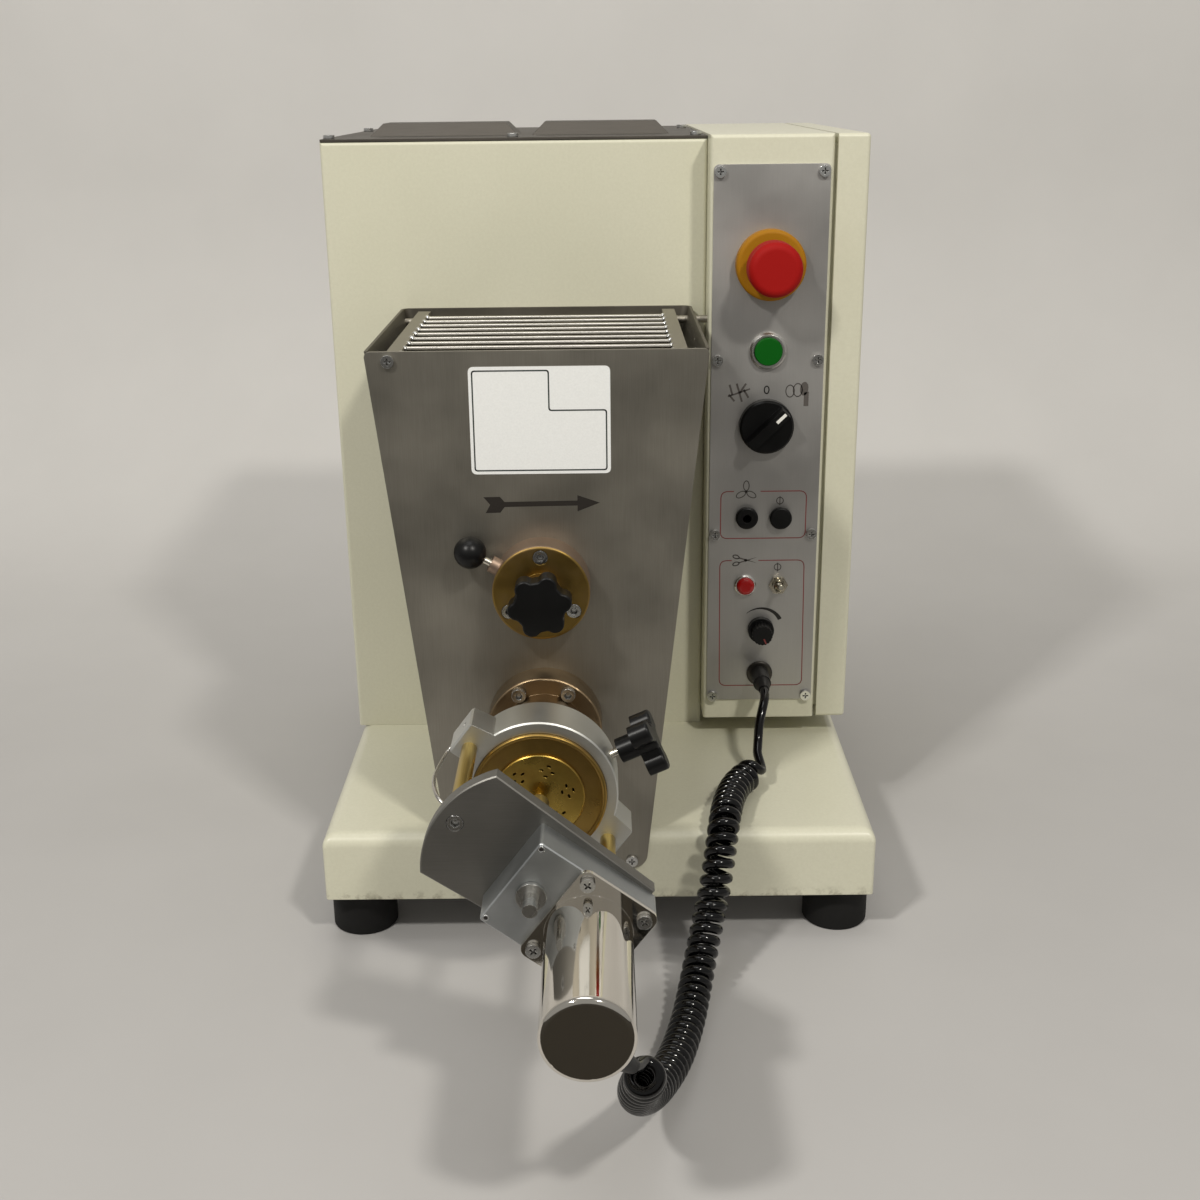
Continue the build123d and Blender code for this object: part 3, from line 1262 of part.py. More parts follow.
def make_cutter_gearbox():
    """Die-cast zinc case, open towards the plate, around the cutter's three gears; it carries the idler's pin."""
    length = gearbox_outer_end - gearbox_inner_end
    middle = (gearbox_outer_end + gearbox_inner_end) / 2
    plane = cutter_plane(cutter_plate_front)
    room = gearbox_depth - gearbox_wall
    through = gearbox_depth + 1.0
    shoulder = 2.0 + cutter_gear_thickness + running_gap
    with BuildPart() as cutter_gearbox:
        with BuildSketch(plane) as outline:
            with Locations((middle, 0)):
                RectangleRounded(length, 2 * gearbox_half_width, 2.0)
        extrude(outline.sketch, amount=gearbox_depth)
        chamfer(cutter_gearbox.edges().group_by(Axis.Y)[0], length=0.8)
        for offset_u, teeth in ((0, cutter_wheel_teeth), (cutter_idler_offset, cutter_idler_teeth),
                                (cup_offset, cutter_pinion_teeth)):
            round_bar(plane, [(offset_u, 0)], cutter_module * (teeth + 3), room, Mode.SUBTRACT)
        round_bar(plane, [(cutter_idler_offset, 0)], cutter_idler_pin, gearbox_depth)
        round_bar(plane.offset(shoulder), [(cutter_idler_offset, 0)], cutter_idler_pin + 4.0,
                  gearbox_depth - shoulder)
        round_bar(plane, [(0, 0)], cutter_shaft_diameter + 2 * shaft_clearance, through, Mode.SUBTRACT)
        round_bar(plane, [(cup_offset, 0)], cutter_pinion_shaft + 3.0, through, Mode.SUBTRACT)
        round_bar(cutter_plane(gearbox_front + 8.0), cup_screws, panel_screw, 9.0, Mode.SUBTRACT)
    finish(cutter_gearbox, "cutter_gearbox")


def make_motor_cup():
    """Polished cup with a screwed flange around the cutter motor."""
    with BuildPart() as motor_cup:
        round_bar(cutter_plane(gearbox_front), [(cup_offset, 0)], cup_diameter, cup_length)
        fillet(motor_cup.edges().group_by(Axis.Y)[0], radius=3.5)
        with BuildSketch(cutter_plane(gearbox_front)) as flange:
            with Locations((cup_offset, 0)):
                RectangleRounded(cup_flange_width, cup_flange_height, cup_flange_corner)
        extrude(flange.sketch, amount=cup_flange_thickness)
        inside = cutter_plane(gearbox_front + 1.0)
        round_bar(inside, [(cup_offset, 0)], cup_diameter - 2 * cup_wall, cup_length + 1.0 - cup_wall,
                  Mode.SUBTRACT)
        round_bar(inside, cup_screws, panel_screw, cup_flange_thickness + 2.0, Mode.SUBTRACT)
    finish(motor_cup, "motor_cup")


def make_cutter_motor():
    """Small motor inside the cup, seated on the gearbox."""
    plane = cutter_plane(gearbox_front)
    with BuildPart() as cutter_motor:
        round_bar(plane, [(cup_offset, 0)], cup_diameter - 2 * (cup_wall + cutter_motor_play), cutter_motor_length)
        round_bar(plane, [(cup_offset, 0)], cutter_pinion_shaft + 2 * running_gap, 12.0, Mode.SUBTRACT)
    finish(cutter_motor, "cutter_motor")


def make_cutter_gears():
    """Cutter pinion on the motor shaft, the idler, and the blade shaft with its wheel and blade."""
    back = cutter_plate_front - 2.0
    plane = cutter_plane(back)
    with BuildPart() as cutter_idler:
        outline = gear_outline(plane, cutter_idler_offset, 0, cutter_idler_teeth, cutter_module,
                               180 + 180 / cutter_idler_teeth)
        extrude(outline, amount=cutter_gear_thickness)
        round_bar(plane.offset(-2.0 + running_gap), [(cutter_idler_offset, 0)], cutter_idler_pin + 4.0, 3.0)
        round_bar(plane.offset(-2.0), [(cutter_idler_offset, 0)], cutter_idler_pin + 2 * shaft_clearance,
                  cutter_gear_thickness + 3.0, Mode.SUBTRACT)
    finish(cutter_idler, "cutter_idler")
    with BuildPart() as cutter_pinion:
        outline = gear_outline(plane, cup_offset, 0, cutter_pinion_teeth, cutter_module,
                               180 + 180 / cutter_pinion_teeth)
        extrude(outline, amount=cutter_gear_thickness)
        shaft_root = back - cutter_gear_thickness
        round_bar(cutter_plane(shaft_root), [(cup_offset, 0)], cutter_pinion_shaft,
                  shaft_root - gearbox_front + 11.0)
    finish(cutter_pinion, "cutter_pinion")
    blade_back = die_face - 1.5
    shaft_back = die_face - die_pin_length - 0.5
    collar_back = gearbox_front - running_gap
    arm_top = auger_z - die_pin / 2 - 0.4
    arm_low = arm_top - 3.3
    blade_x = (drive_x - blade_width / 2, drive_x + blade_width / 2)
    with BuildPart() as cutter_blade:
        extrude(gear_outline(plane, 0, 0, cutter_wheel_teeth, cutter_module, 0), amount=cutter_gear_thickness)
        round_bar(cutter_plane(shaft_back), [(0, 0)], cutter_shaft_diameter,
                  shaft_back - gearbox_front + cutter_shaft_front)
        round_bar(cutter_plane(shaft_back), [(0, 0)], cutter_shaft_diameter + 5.0, 10.0)
        round_bar(cutter_plane(collar_back), [(0, 0)], cutter_collar, 3.0)
        block(blade_x, (shaft_back - 10.0, blade_back), (arm_low, arm_top))
        block(blade_x, (blade_back - blade_thickness, blade_back), (auger_z - blade_length, arm_top))
    finish(cutter_blade, "cutter_blade")


# ================================================================== cord
def gland_seat():
    """Point on the cup's side where the gland leaves it."""
    turn = radians(cutter_angle)
    side = radians(gland_angle)
    x = drive_x + cup_offset * cos(turn) + cup_diameter / 2 * cos(side)
    z = auger_z + cup_offset * sin(turn) + cup_diameter / 2 * sin(side)
    return Vector(x, cup_end + gland_inset, z)


def bend_radii(points):
    """Largest tangent arc at each corner: 0.45 of the shorter run over the tangent of half the turn."""
    radii = []
    for before, corner, after in zip(points, points[1:], points[2:]):
        arriving = corner - before
        leaving = after - corner
        half_turn = radians(arriving.get_angle(leaving)) / 2
        radii.append(0.45 * min(arriving.length, leaving.length) / tan(half_turn))
    return radii


def make_tube(name, points, diameter):
    """Plain round tube along straight runs joined by tangent arcs."""
    radii = bend_radii(points)
    with BuildPart() as tube:
        with BuildLine() as route:
            FilletPolyline(*points, radius=radii)
        with BuildSketch(Plane(origin=points[0], z_dir=points[1] - points[0])):
            Circle(diameter / 2)
        sweep(path=route.wires()[0])
    print(name, "length", round(route.wires()[0].length, 1), "radii", [round(r, 1) for r in radii],
          "volume ratio", round(tube.part.volume / (pi * diameter ** 2 / 4 * route.wires()[0].length), 4))
    finish(tube, name)


lead_points = [Vector(column_middle, plate_face - plug_length, socket_z),
               Vector(column_middle, 41.5, socket_z),
               Vector(136.0, 30.0, 147.0), Vector(132.5, 22.5, 136.0), Vector(131.5, 17.0,
                      124.5), Vector(130.0, 7.0, 117.5)]
coil_points = [lead_points[-1], Vector(128.0, -6.333, 108.167), Vector(112.0, -24.0, 106.8),
               Vector(97.0, -55.0, 107.0),
               Vector(88.0, -94.0, 107.0), Vector(82.5, -118.0, 86.0), Vector(78.5, -131.0, 61.0),
               Vector(72.4, -150.0, 38.5), Vector(66.4, -178.0, 21.5), Vector(59.0, -217.0, 15.0),
               Vector(50.0, -264.0, 19.0), Vector(38.5, -309.0, 33.0), Vector(31.0, -349.0, 59.0),
               Vector(27.5, -383.0, 90.0)]


def make_cord():
    """Curly cord from the plug to the gland on the motor cup: a straight lead, then the coil's outer tube."""
    seat = gland_seat()
    tip = seat + gland_direction * gland_length
    gland_plane = Plane(origin=seat - gland_direction * 4.0, z_dir=gland_direction)
    with BuildPart() as cord_gland:
        with BuildSketch(gland_plane) as wide:
            Circle(gland_diameter / 2)
        with BuildSketch(gland_plane.offset(gland_length + 4.0)) as narrow:
            Circle(cord_diameter / 2 + 1.0)
        loft([wide.sketch.face(), narrow.sketch.face()])
        round_bar(cutter_plane(gearbox_front), [(cup_offset, 0)], cup_diameter + 0.1, cup_length + 1.0,
                  Mode.SUBTRACT)
    finish(cord_gland, "cord_gland")
    make_tube("cutter_lead", lead_points, cord_diameter)
    make_tube("cutter_coil", coil_points + [tip + gland_direction * 21.5, tip], coil_diameter)


def make_clamp_spring():
    """Bent steel wire from a hole under the ring's left lug, hooked under the left standoff."""
    under = -(standoff_diameter + spring_wire) / 2
    points = [Vector(*spring_seat, 0), Vector(spring_seat[0], lug_low - 7.0, 0), Vector(-67.5, -17.0, 24.0),
              Vector(-70.5, -14.0, 50.0), Vector(-71.5, -7.5, 76.0), Vector(-67.0, under, 90.0),
              Vector(-45.0, under, 91.5)]
    frame = cutter_plane(ring_front + lug_depth / 2)
    places = [frame.from_local_coords(p) for p in points]
    radii = bend_radii(places)
    with BuildPart() as clamp_spring:
        with BuildLine() as route:
            FilletPolyline(*places, radius=radii)
        with BuildSketch(Plane(origin=places[0], z_dir=places[1] - places[0])):
            Circle(spring_wire / 2)
        sweep(path=route.wires()[0])
    finish(clamp_spring, "clamp_spring")


make_feet()
make_chassis_plate()
make_base_pan()
make_main_housing()
make_top_plate()
make_rear_cover()
make_mains_inlet()
make_control_column()
make_side_panel()
make_panel_screws()
make_control_plate()
make_estop()
make_start()
make_contact_blocks()
make_selector()
make_fan_controls()
make_lamp()
make_toggle()
make_speed_control()
make_cutter_connection()
make_hopper_tub()
make_hopper_front_plate()
make_grille_lid()
make_lid_interlock()
make_mixer_shaft()
make_mixer_hub()
make_socket_screws()
make_star_knob()
make_plunger()
make_extruder_barrel()
make_die()
make_die_nut()
make_auger()
make_drive_gears()
make_gear_plate()
make_drive_motor()
make_clamp_ring()
make_clamp_knob()
make_standoffs()
make_cutter_plate()
make_cutter_gearbox()
make_motor_cup()
make_cutter_motor()
make_cutter_gears()
make_cord()
make_clamp_spring()
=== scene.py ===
"""Electric pasta maker: a bench-top machine with a mixing hopper, a screw extruder and a cutter unit.

Metres, and millimetres where MM or a comment says so. The machine stands on Z = 0 with its front towards
-Y, and X = Y = 0 is the middle of its box.
"""
from bisect import bisect_right
from math import cos, pi, radians, sin, tau

import bpy
from mathutils import Matrix, Vector


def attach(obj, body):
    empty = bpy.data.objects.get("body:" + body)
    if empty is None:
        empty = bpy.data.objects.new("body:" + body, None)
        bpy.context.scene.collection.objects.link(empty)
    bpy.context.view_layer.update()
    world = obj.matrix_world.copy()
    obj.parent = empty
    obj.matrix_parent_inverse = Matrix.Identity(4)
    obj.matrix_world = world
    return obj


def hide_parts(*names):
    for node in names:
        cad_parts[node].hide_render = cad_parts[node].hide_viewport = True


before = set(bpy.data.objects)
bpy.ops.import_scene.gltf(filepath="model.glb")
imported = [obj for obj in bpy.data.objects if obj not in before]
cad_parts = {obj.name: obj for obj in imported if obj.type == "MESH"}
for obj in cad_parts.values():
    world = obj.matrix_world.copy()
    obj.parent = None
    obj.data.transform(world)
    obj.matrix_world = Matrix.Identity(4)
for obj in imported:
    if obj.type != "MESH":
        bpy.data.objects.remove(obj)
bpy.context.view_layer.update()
MM = 0.001

# ------------------------------------------------------------------ camera
# A standing person's view of the front, a little above the machine and tilted down.
camera_place = Vector((0.00538, -1.08944, 0.63281))
camera_tilt = 0.334952507
camera_roll = 0.0112691111
camera_yaw = -0.00247913937
focal_length = 44.15
ahead = Vector((sin(camera_yaw) * cos(camera_tilt), cos(camera_yaw) * cos(camera_tilt), -sin(camera_tilt)))
level = Vector((cos(camera_yaw), -sin(camera_yaw), 0.0))
low = ahead.cross(level)
right_side = cos(camera_roll) * level + sin(camera_roll) * low
lower_side = cos(camera_roll) * low - sin(camera_roll) * level
lens = bpy.data.cameras.new("camera")
lens.lens = focal_length
lens.clip_start = 0.01
camera = bpy.data.objects.new("camera", lens)
camera.matrix_world = Matrix.Translation(camera_place) @ Matrix(
    (right_side, -lower_side, -ahead)).transposed().to_4x4()
bpy.context.scene.collection.objects.link(camera)
bpy.context.scene.camera = camera


# ------------------------------------------------------------------ floor, backdrop, world and lamps
# A pale studio sweep: floor and wall are one sheet with a curved corner, lit by soft boxes. A dark card
# lies before the machine, as the unlit room would, and is seen only in the metal's reflections.
def linear(code):
    """The linear colour, with alpha, of an sRGB hex colour such as #8090A0."""
    parts = [int(code[i:i + 2], 16) / 255 for i in (1, 3, 5)]
    return [c / 12.92 if c <= 0.04045 else ((c + 0.055) / 1.055) ** 2.4 for c in parts] + [1.0]


def add(tree, kind, links=(), values=(), **settings):
    """Adds a node with its settings, its sockets' values and its links from other nodes' outputs."""
    node = tree.nodes.new(kind)
    for name, value in settings.items():
        setattr(node, name, value)
    for socket, value in dict(values).items():
        node.inputs[socket].default_value = value
    for socket, source in dict(links).items():
        tree.links.new(source, node.inputs[socket])
    return node


def new_material(name, **sockets):
    """A material with one Principled shader, its node tree, its Object coordinates and the shader."""
    made = bpy.data.materials.new(name)
    made.use_nodes = True
    tree = made.node_tree
    tree.nodes.clear()
    place = add(tree, "ShaderNodeTexCoord").outputs["Object"]
    shader = add(tree, "ShaderNodeBsdfPrincipled", values=sockets)
    add(tree, "ShaderNodeOutputMaterial", {"Surface": shader.outputs["BSDF"]})
    return made, tree, place, shader


def blend_colours(tree, factor, first, second):
    """The colour between two hex colours, or sockets, by a factor."""
    mixed = add(tree, "ShaderNodeMix", {0: factor}, data_type="RGBA")
    for socket, colour in ((6, first), (7, second)):
        if isinstance(colour, str):
            mixed.inputs[socket].default_value = linear(colour)
        else:
            tree.links.new(colour, mixed.inputs[socket])
    return mixed.outputs[2]


def mesh_object(name, points, faces, material, smooth=False):
    """A mesh object at the origin, with its place in its mesh."""
    mesh = bpy.data.meshes.new(name)
    mesh.from_pydata([tuple(p) for p in points], [], faces)
    mesh.update()
    mesh.polygons.foreach_set("use_smooth", [smooth] * len(mesh.polygons))
    made = bpy.data.objects.new(name, mesh)
    made.data.materials.append(material)
    bpy.context.scene.collection.objects.link(made)
    return made


sweep_half_width = 4.0
sweep_front = -4.0
sweep_wall = 1.3
sweep_radius = 0.5
sweep_height = 4.0
sweep_steps = 12
backdrop, tree, place, shader = new_material("studio_sweep_paper", **{"Roughness": 0.9})
paper_grain = add(tree, "ShaderNodeTexNoise", {"Vector": place}, {"Scale": 6.0, "Detail": 6.0})
paper_place = add(tree, "ShaderNodeSeparateXYZ", {"Vector": place})
paper_fade = add(tree, "ShaderNodeMapRange", {"Value": paper_place.outputs["Y"]},
                 {"From Min": 0.1, "From Max": 1.2}, interpolation_type="SMOOTHSTEP")
table_paper = blend_colours(tree, paper_grain.outputs["Fac"], "#B3B1AF", "#BBB9B7")
wall_paper = blend_colours(tree, paper_grain.outputs["Fac"], "#D3D1CE", "#DCDAD7")
tree.links.new(blend_colours(tree, paper_fade.outputs["Result"], table_paper, wall_paper),
               shader.inputs["Base Color"])
profile = [(sweep_front, 0.0)]
for i in range(sweep_steps + 1):
    turn = i / sweep_steps * pi / 2
    profile.append((sweep_wall - sweep_radius + sweep_radius * sin(turn), sweep_radius * (1 - cos(turn))))
profile.append((sweep_wall, sweep_height))
sweep_points = [(x, y, z) for y, z in profile for x in (-sweep_half_width, sweep_half_width)]
sweep_faces = [(2 * i, 2 * i + 1, 2 * i + 3, 2 * i + 2) for i in range(len(profile) - 1)]
mesh_object("studio_sweep", sweep_points, sweep_faces, backdrop, smooth=True)

card_half_width = 2.6
card_front = -3.9
card_back = -0.56
card_lift = 0.003
dark_card = new_material("card_dark_brown", **{"Base Color": linear("#1F190D"), "Roughness": 0.9})[0]
card_points = [(x, y, card_lift) for x, y in (
    (-card_half_width, card_front), (card_half_width, card_front),
    (card_half_width, card_back), (-card_half_width, card_back))]
card = mesh_object("dark_card", card_points, [(0, 1, 2, 3)], dark_card)
card.visible_camera = False
card.visible_diffuse = False
card.visible_shadow = False
card.visible_transmission = False

world = bpy.data.worlds.new("studio")
bpy.context.scene.world = world
world.use_nodes = True
world.node_tree.nodes.clear()
sky = add(world.node_tree, "ShaderNodeBackground", values={"Color": linear("#DFDDD8"), "Strength": 0.42})
add(world.node_tree, "ShaderNodeOutputWorld", {"Surface": sky.outputs["Background"]})


def soft_box(name, place, target, width, height, watts, colour):
    """A rectangular soft lamp that faces a point."""
    lamp = bpy.data.lights.new(name, "AREA")
    lamp.shape = "RECTANGLE"
    lamp.size = width
    lamp.size_y = height
    lamp.energy = watts
    lamp.color = linear(colour)[:3]
    made = bpy.data.objects.new(name, lamp)
    way = Vector(target) - Vector(place)
    made.matrix_world = Matrix.Translation(place) @ way.to_track_quat("-Z", "Y").to_matrix().to_4x4()
    bpy.context.scene.collection.objects.link(made)


machine_middle = (0.0, 0.0, 0.3)
soft_box("key_box", (0.95, -1.75, 2.3), machine_middle, 0.24, 0.18, 30.0, "#FFFBF3")
soft_box("second_box", (-1.15, -1.6, 2.2), machine_middle, 0.24, 0.18, 33.0, "#FFFCF6")
soft_box("top_box", (-0.2, -0.2, 2.7), (0.0, 0.1, 0.3), 1.2, 0.8, 8.0, "#FFFFFF")

bpy.context.scene.view_settings.view_transform = "Standard"


# ------------------------------------------------------------------ base, housing, column, panel and cover
# Folded and welded steel sheet under a cream polyester powder coat: satin, with a faint orange peel that
# shows as a soft ripple in the highlights, and grime along the lower edges.
def dress(material, *nodes):
    """Gives CAD nodes a material."""
    for name in nodes:
        for place_in_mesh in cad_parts[name].material_slots:
            place_in_mesh.material = material


def soften(tree, shader, height, strength, depth, edge=0.4 * MM):
    """Edges rounded to a radius, under a bump that follows a pattern's height to a depth."""
    rounded = add(tree, "ShaderNodeBevel", values={"Radius": edge}, samples=4)
    bump = add(tree, "ShaderNodeBump", {"Height": height, "Normal": rounded.outputs["Normal"]},
               {"Strength": strength, "Distance": depth})
    tree.links.new(bump.outputs["Normal"], shader.inputs["Normal"])


cream, tree, place, shader = new_material("powder_coat_cream", **{"IOR": 1.5, "Coat Weight": 0.25,
                                                                  "Coat Roughness": 0.2})
clouds = add(tree, "ShaderNodeTexNoise", {"Vector": place}, {"Scale": 9.0, "Detail": 3.0})
specks = add(tree, "ShaderNodeTexNoise", {"Vector": place}, {"Scale": 420.0, "Detail": 3.0, "Roughness": 0.7})
tint = blend_colours(tree, clouds.outputs["Fac"], "#D2D0B9", "#DBD9C4")
speck_share = add(tree, "ShaderNodeMapRange", {"Value": specks.outputs["Fac"]},
                  {"From Min": 0.35, "From Max": 0.65, "To Min": 0.0, "To Max": 0.25})
speckled = blend_colours(tree, speck_share.outputs["Result"], tint, "#C6C3AC")
coat_place = add(tree, "ShaderNodeSeparateXYZ", {"Vector": place})
pan_underside = 38.6 * MM
grime_top = 47.0 * MM
low_edge = add(tree, "ShaderNodeMapRange", {"Value": coat_place.outputs["Z"]},
               {"From Min": pan_underside, "From Max": grime_top, "To Min": 0.75, "To Max": 0.0})
rub_marks = add(tree, "ShaderNodeTexNoise", {"Vector": place},
                {"Scale": 70.0, "Detail": 5.0, "Roughness": 0.7})
rub_share = add(tree, "ShaderNodeMapRange", {"Value": rub_marks.outputs["Fac"]},
                {"From Min": 0.48, "From Max": 0.62})
grime = add(tree, "ShaderNodeMath", {0: low_edge.outputs["Result"], 1: rub_share.outputs["Result"]},
            operation="MULTIPLY")
tree.links.new(blend_colours(tree, grime.outputs["Value"], speckled, "#7D7660"), shader.inputs["Base Color"])
peel = add(tree, "ShaderNodeTexNoise", {"Vector": place}, {"Scale": 600.0, "Detail": 2.0})
soften(tree, shader, peel.outputs["Fac"], 0.07, 0.3 * MM, edge=0.8 * MM)
sheen = add(tree, "ShaderNodeMapRange", {"Value": clouds.outputs["Fac"]}, {"To Min": 0.34, "To Max": 0.46})
tree.links.new(sheen.outputs["Result"], shader.inputs["Roughness"])
dress(cream, "base_pan", "main_housing", "rear_cover", "control_column", "right_side_panel")


# ------------------------------------------------------------------ feet
# Four moulded nitrile rubber feet, matt black, with a dusty bloom.
def dull_unevenly(tree, shader, pattern, smoothest, roughest):
    """A roughness between two values, as a pattern goes from 0.3 to 0.7."""
    dull = add(tree, "ShaderNodeMapRange", {"Value": pattern},
               {"From Min": 0.3, "From Max": 0.7, "To Min": smoothest, "To Max": roughest})
    tree.links.new(dull.outputs["Result"], shader.inputs["Roughness"])


def moulded_plastic(name, colour, shade, roughness, grain=0.5 * MM, gloss=0.3):
    """A moulded plastic or rubber with a fine grain of a given size; gloss is the strength of its mirror."""
    made, tree, place, shader = new_material(name, **{"Roughness": roughness, "IOR": 1.53,
                                                      "Specular IOR Level": gloss})
    spots = add(tree, "ShaderNodeTexNoise", {"Vector": place}, {"Scale": 1.0 / grain, "Detail": 2.0})
    handled = add(tree, "ShaderNodeTexNoise", {"Vector": place}, {"Scale": 45.0, "Detail": 4.0})
    tree.links.new(blend_colours(tree, spots.outputs["Fac"], shade, colour), shader.inputs["Base Color"])
    dull_unevenly(tree, shader, handled.outputs["Fac"], roughness - 0.06, roughness + 0.08)
    soften(tree, shader, spots.outputs["Fac"], 0.1, 0.1 * MM)
    return made


dress(moulded_plastic("nitrile_rubber_black", "#131211", "#0C0C0B", 0.72), "rubber_feet")


# ------------------------------------------------------------------ chassis, gear plate and top plate
# Zinc-plated steel inside, and a brushed stainless sheet with pressed vent hoods on top.
def brushed_metal(name, dark, light, roughness, along, line=0.35 * MM, smear=0.5):
    """A brushed metal whose lines run along an axis, 60 times as long as wide, with smears of handling."""
    line_length = line * 60
    made, tree, place, shader = new_material(name, **{"Metallic": 1.0, "Roughness": roughness})
    stretch = [1.0 / line] * 3
    stretch["XYZ".index(along)] = 1.0 / line_length
    spread = add(tree, "ShaderNodeMapping", {"Vector": place}, {"Scale": stretch})
    lines = add(tree, "ShaderNodeTexNoise", {"Vector": spread.outputs["Vector"]},
                {"Scale": 1.0, "Detail": 2.0})
    smears = add(tree, "ShaderNodeTexNoise", {"Vector": place}, {"Scale": 14.0, "Detail": 6.0})
    both = add(tree, "ShaderNodeMix", {2: lines.outputs["Fac"], 3: smears.outputs["Fac"]}, {0: smear},
               data_type="FLOAT")
    share = add(tree, "ShaderNodeMapRange", {"Value": both.outputs[0]}, {"From Min": 0.3, "From Max": 0.7})
    tree.links.new(blend_colours(tree, share.outputs["Result"], dark, light), shader.inputs["Base Color"])
    dull_unevenly(tree, shader, smears.outputs["Fac"], roughness - 0.05, roughness + 0.07)
    soften(tree, shader, lines.outputs["Fac"], 0.08, 0.05 * MM)
    return made


dress(brushed_metal("steel_zinc_plated", "#A9A9A6", "#BEBEBA", 0.4, "X"), "chassis_plate", "potentiometer",
      "gear_plate")
dress(brushed_metal("stainless_brushed_top", "#5F5B55", "#706B64", 0.5, "X"), "top_plate")

# ------------------------------------------------------------------ screws
# Zinc-plated pan-head and cap screws, cold headed and tumbled: pale, with bright points on their rims.
screw_steel = brushed_metal("steel_bright_zinc", "#D2D2D0", "#E6E6E4", 0.22, "Y")
dress(screw_steel, "panel_screws", "socket_screws")


def overlay_tone_or_shade(material, share_of, stain, roughness):
    """Blends a colour and its roughness over a material where share_of(tree), from 0 to 1, is high: a real
    tone on the lid bars and hub rim, painted shade in the screws' recesses.
    """
    tree = material.node_tree
    shader = next(n for n in tree.nodes if n.type == "BSDF_PRINCIPLED")
    share = share_of(tree)
    clean = shader.inputs["Base Color"].links[0].from_socket
    tree.links.new(blend_colours(tree, share, clean, stain), shader.inputs["Base Color"])
    polish = shader.inputs["Roughness"].links[0].from_socket
    dull = add(tree, "ShaderNodeMix", {0: share, 2: polish}, {3: roughness}, data_type="FLOAT")
    tree.links.new(dull.outputs[0], shader.inputs["Roughness"])


def painted_recess_shade(tree):
    """High in slots and sockets, where the ambient occlusion finds shelter: the mask of the painted shade."""
    shelter = add(tree, "ShaderNodeAmbientOcclusion", values={"Distance": 2.5 * MM}, samples=8)
    return add(tree, "ShaderNodeMapRange", {"Value": shelter.outputs["AO"]},
               {"From Min": 0.45, "From Max": 0.85, "To Min": 0.95, "To Max": 0.0}).outputs["Result"]


# Painted shade: the ambient-occlusion mask darkens the screws' slots and sockets towards #2B2720 and dulls
# them.
overlay_tone_or_shade(screw_steel, painted_recess_shade, "#2B2720", 0.6)


def repeat_tree(name, material, inputs):
    """A geometry tree that takes seed points and named sizes, with its input and output nodes."""
    tree = bpy.data.node_groups.new(name, "GeometryNodeTree")
    tree.interface.new_socket("Geometry", in_out="INPUT", socket_type="NodeSocketGeometry")
    for label, kind in inputs:
        tree.interface.new_socket(label, in_out="INPUT", socket_type=kind)
    tree.interface.new_socket("Geometry", in_out="OUTPUT", socket_type="NodeSocketGeometry")
    sizes = add(tree, "NodeGroupInput")
    whole = add(tree, "GeometryNodeRealizeInstances")
    finish = add(tree, "GeometryNodeSetMaterial", {"Geometry": whole.outputs["Geometry"]})
    finish.inputs["Material"].default_value = material
    add(tree, "NodeGroupOutput", {"Geometry": finish.outputs["Geometry"]})
    return tree, sizes, whole


def grow(name, seeds, tree, sizes):
    """Runs a geometry tree over seed points and keeps the result as a plain mesh object."""
    mesh = bpy.data.meshes.new(name)
    mesh.from_pydata([tuple(p) for p in seeds], [], [])
    made = bpy.data.objects.new(name, mesh)
    bpy.context.scene.collection.objects.link(made)
    modifier = made.modifiers.new("repeat", "NODES")
    modifier.node_group = tree
    for item in tree.interface.items_tree:
        if item.in_out == "INPUT" and item.name in sizes:
            modifier[item.identifier] = sizes[item.name]
    plain = bpy.data.meshes.new_from_object(made.evaluated_get(bpy.context.evaluated_depsgraph_get()))
    made.modifiers.remove(modifier)
    made.data = plain
    return made


hub_axis = (-38.5, 297.0)
extruder_axis = (-38.5, 190.0)
cutter_turn = -37


def turn_places(axis, depth, circle, angles):
    """Points on a pitch circle round an axis along Y through (x, z), at a depth, in millimetres."""
    return [(axis[0] + circle / 2 * cos(radians(a)), depth, axis[1] + circle / 2 * sin(radians(a)))
            for a in angles]


# Knurling rolled on the rims of the cap screws: fine ridges along the axis.
knurl, knurl_sizes, knurl_whole = repeat_tree("knurled_rim", screw_steel, [
    ("Head Radius", "NodeSocketFloat"), ("Ridge Radius", "NodeSocketFloat"),
    ("Ridge Length", "NodeSocketFloat"), ("Ridge Count", "NodeSocketInt")])
rim = add(knurl, "GeometryNodeMeshCircle", {"Vertices": knurl_sizes.outputs["Ridge Count"],
                                            "Radius": knurl_sizes.outputs["Head Radius"]})
ridge = add(knurl, "GeometryNodeMeshCylinder",
            {"Radius": knurl_sizes.outputs["Ridge Radius"], "Depth": knurl_sizes.outputs["Ridge Length"]},
            {"Vertices": 6})
ridges = add(knurl, "GeometryNodeInstanceOnPoints", {"Points": rim.outputs["Mesh"],
                                                     "Instance": ridge.outputs["Mesh"]})
upright = add(knurl, "GeometryNodeTransform", {"Geometry": ridges.outputs["Instances"]},
              {"Rotation": (pi / 2, 0.0, 0.0)})
heads = add(knurl, "GeometryNodeInstanceOnPoints", {"Points": knurl_sizes.outputs["Geometry"],
                                                    "Instance": upright.outputs["Geometry"]})
knurl.links.new(heads.outputs["Instances"], knurl_whole.inputs["Geometry"])
head_seeds = turn_places(extruder_axis, depth=-111.0, circle=71.0, angles=range(0, 360, 60))
head_seeds += turn_places(hub_axis, depth=-106.5, circle=53.0, angles=(90, 210, 330))
head_seeds += turn_places(extruder_axis, depth=-309.5, circle=113.0, angles=(cutter_turn, cutter_turn + 180))
knurled = grow("cap_screw_knurling", [Vector(p) * MM for p in head_seeds], knurl, {
    "Head Radius": 5.0 * MM, "Ridge Radius": 0.3 * MM, "Ridge Length": 4.6 * MM, "Ridge Count": 30})
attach(knurled, "root")

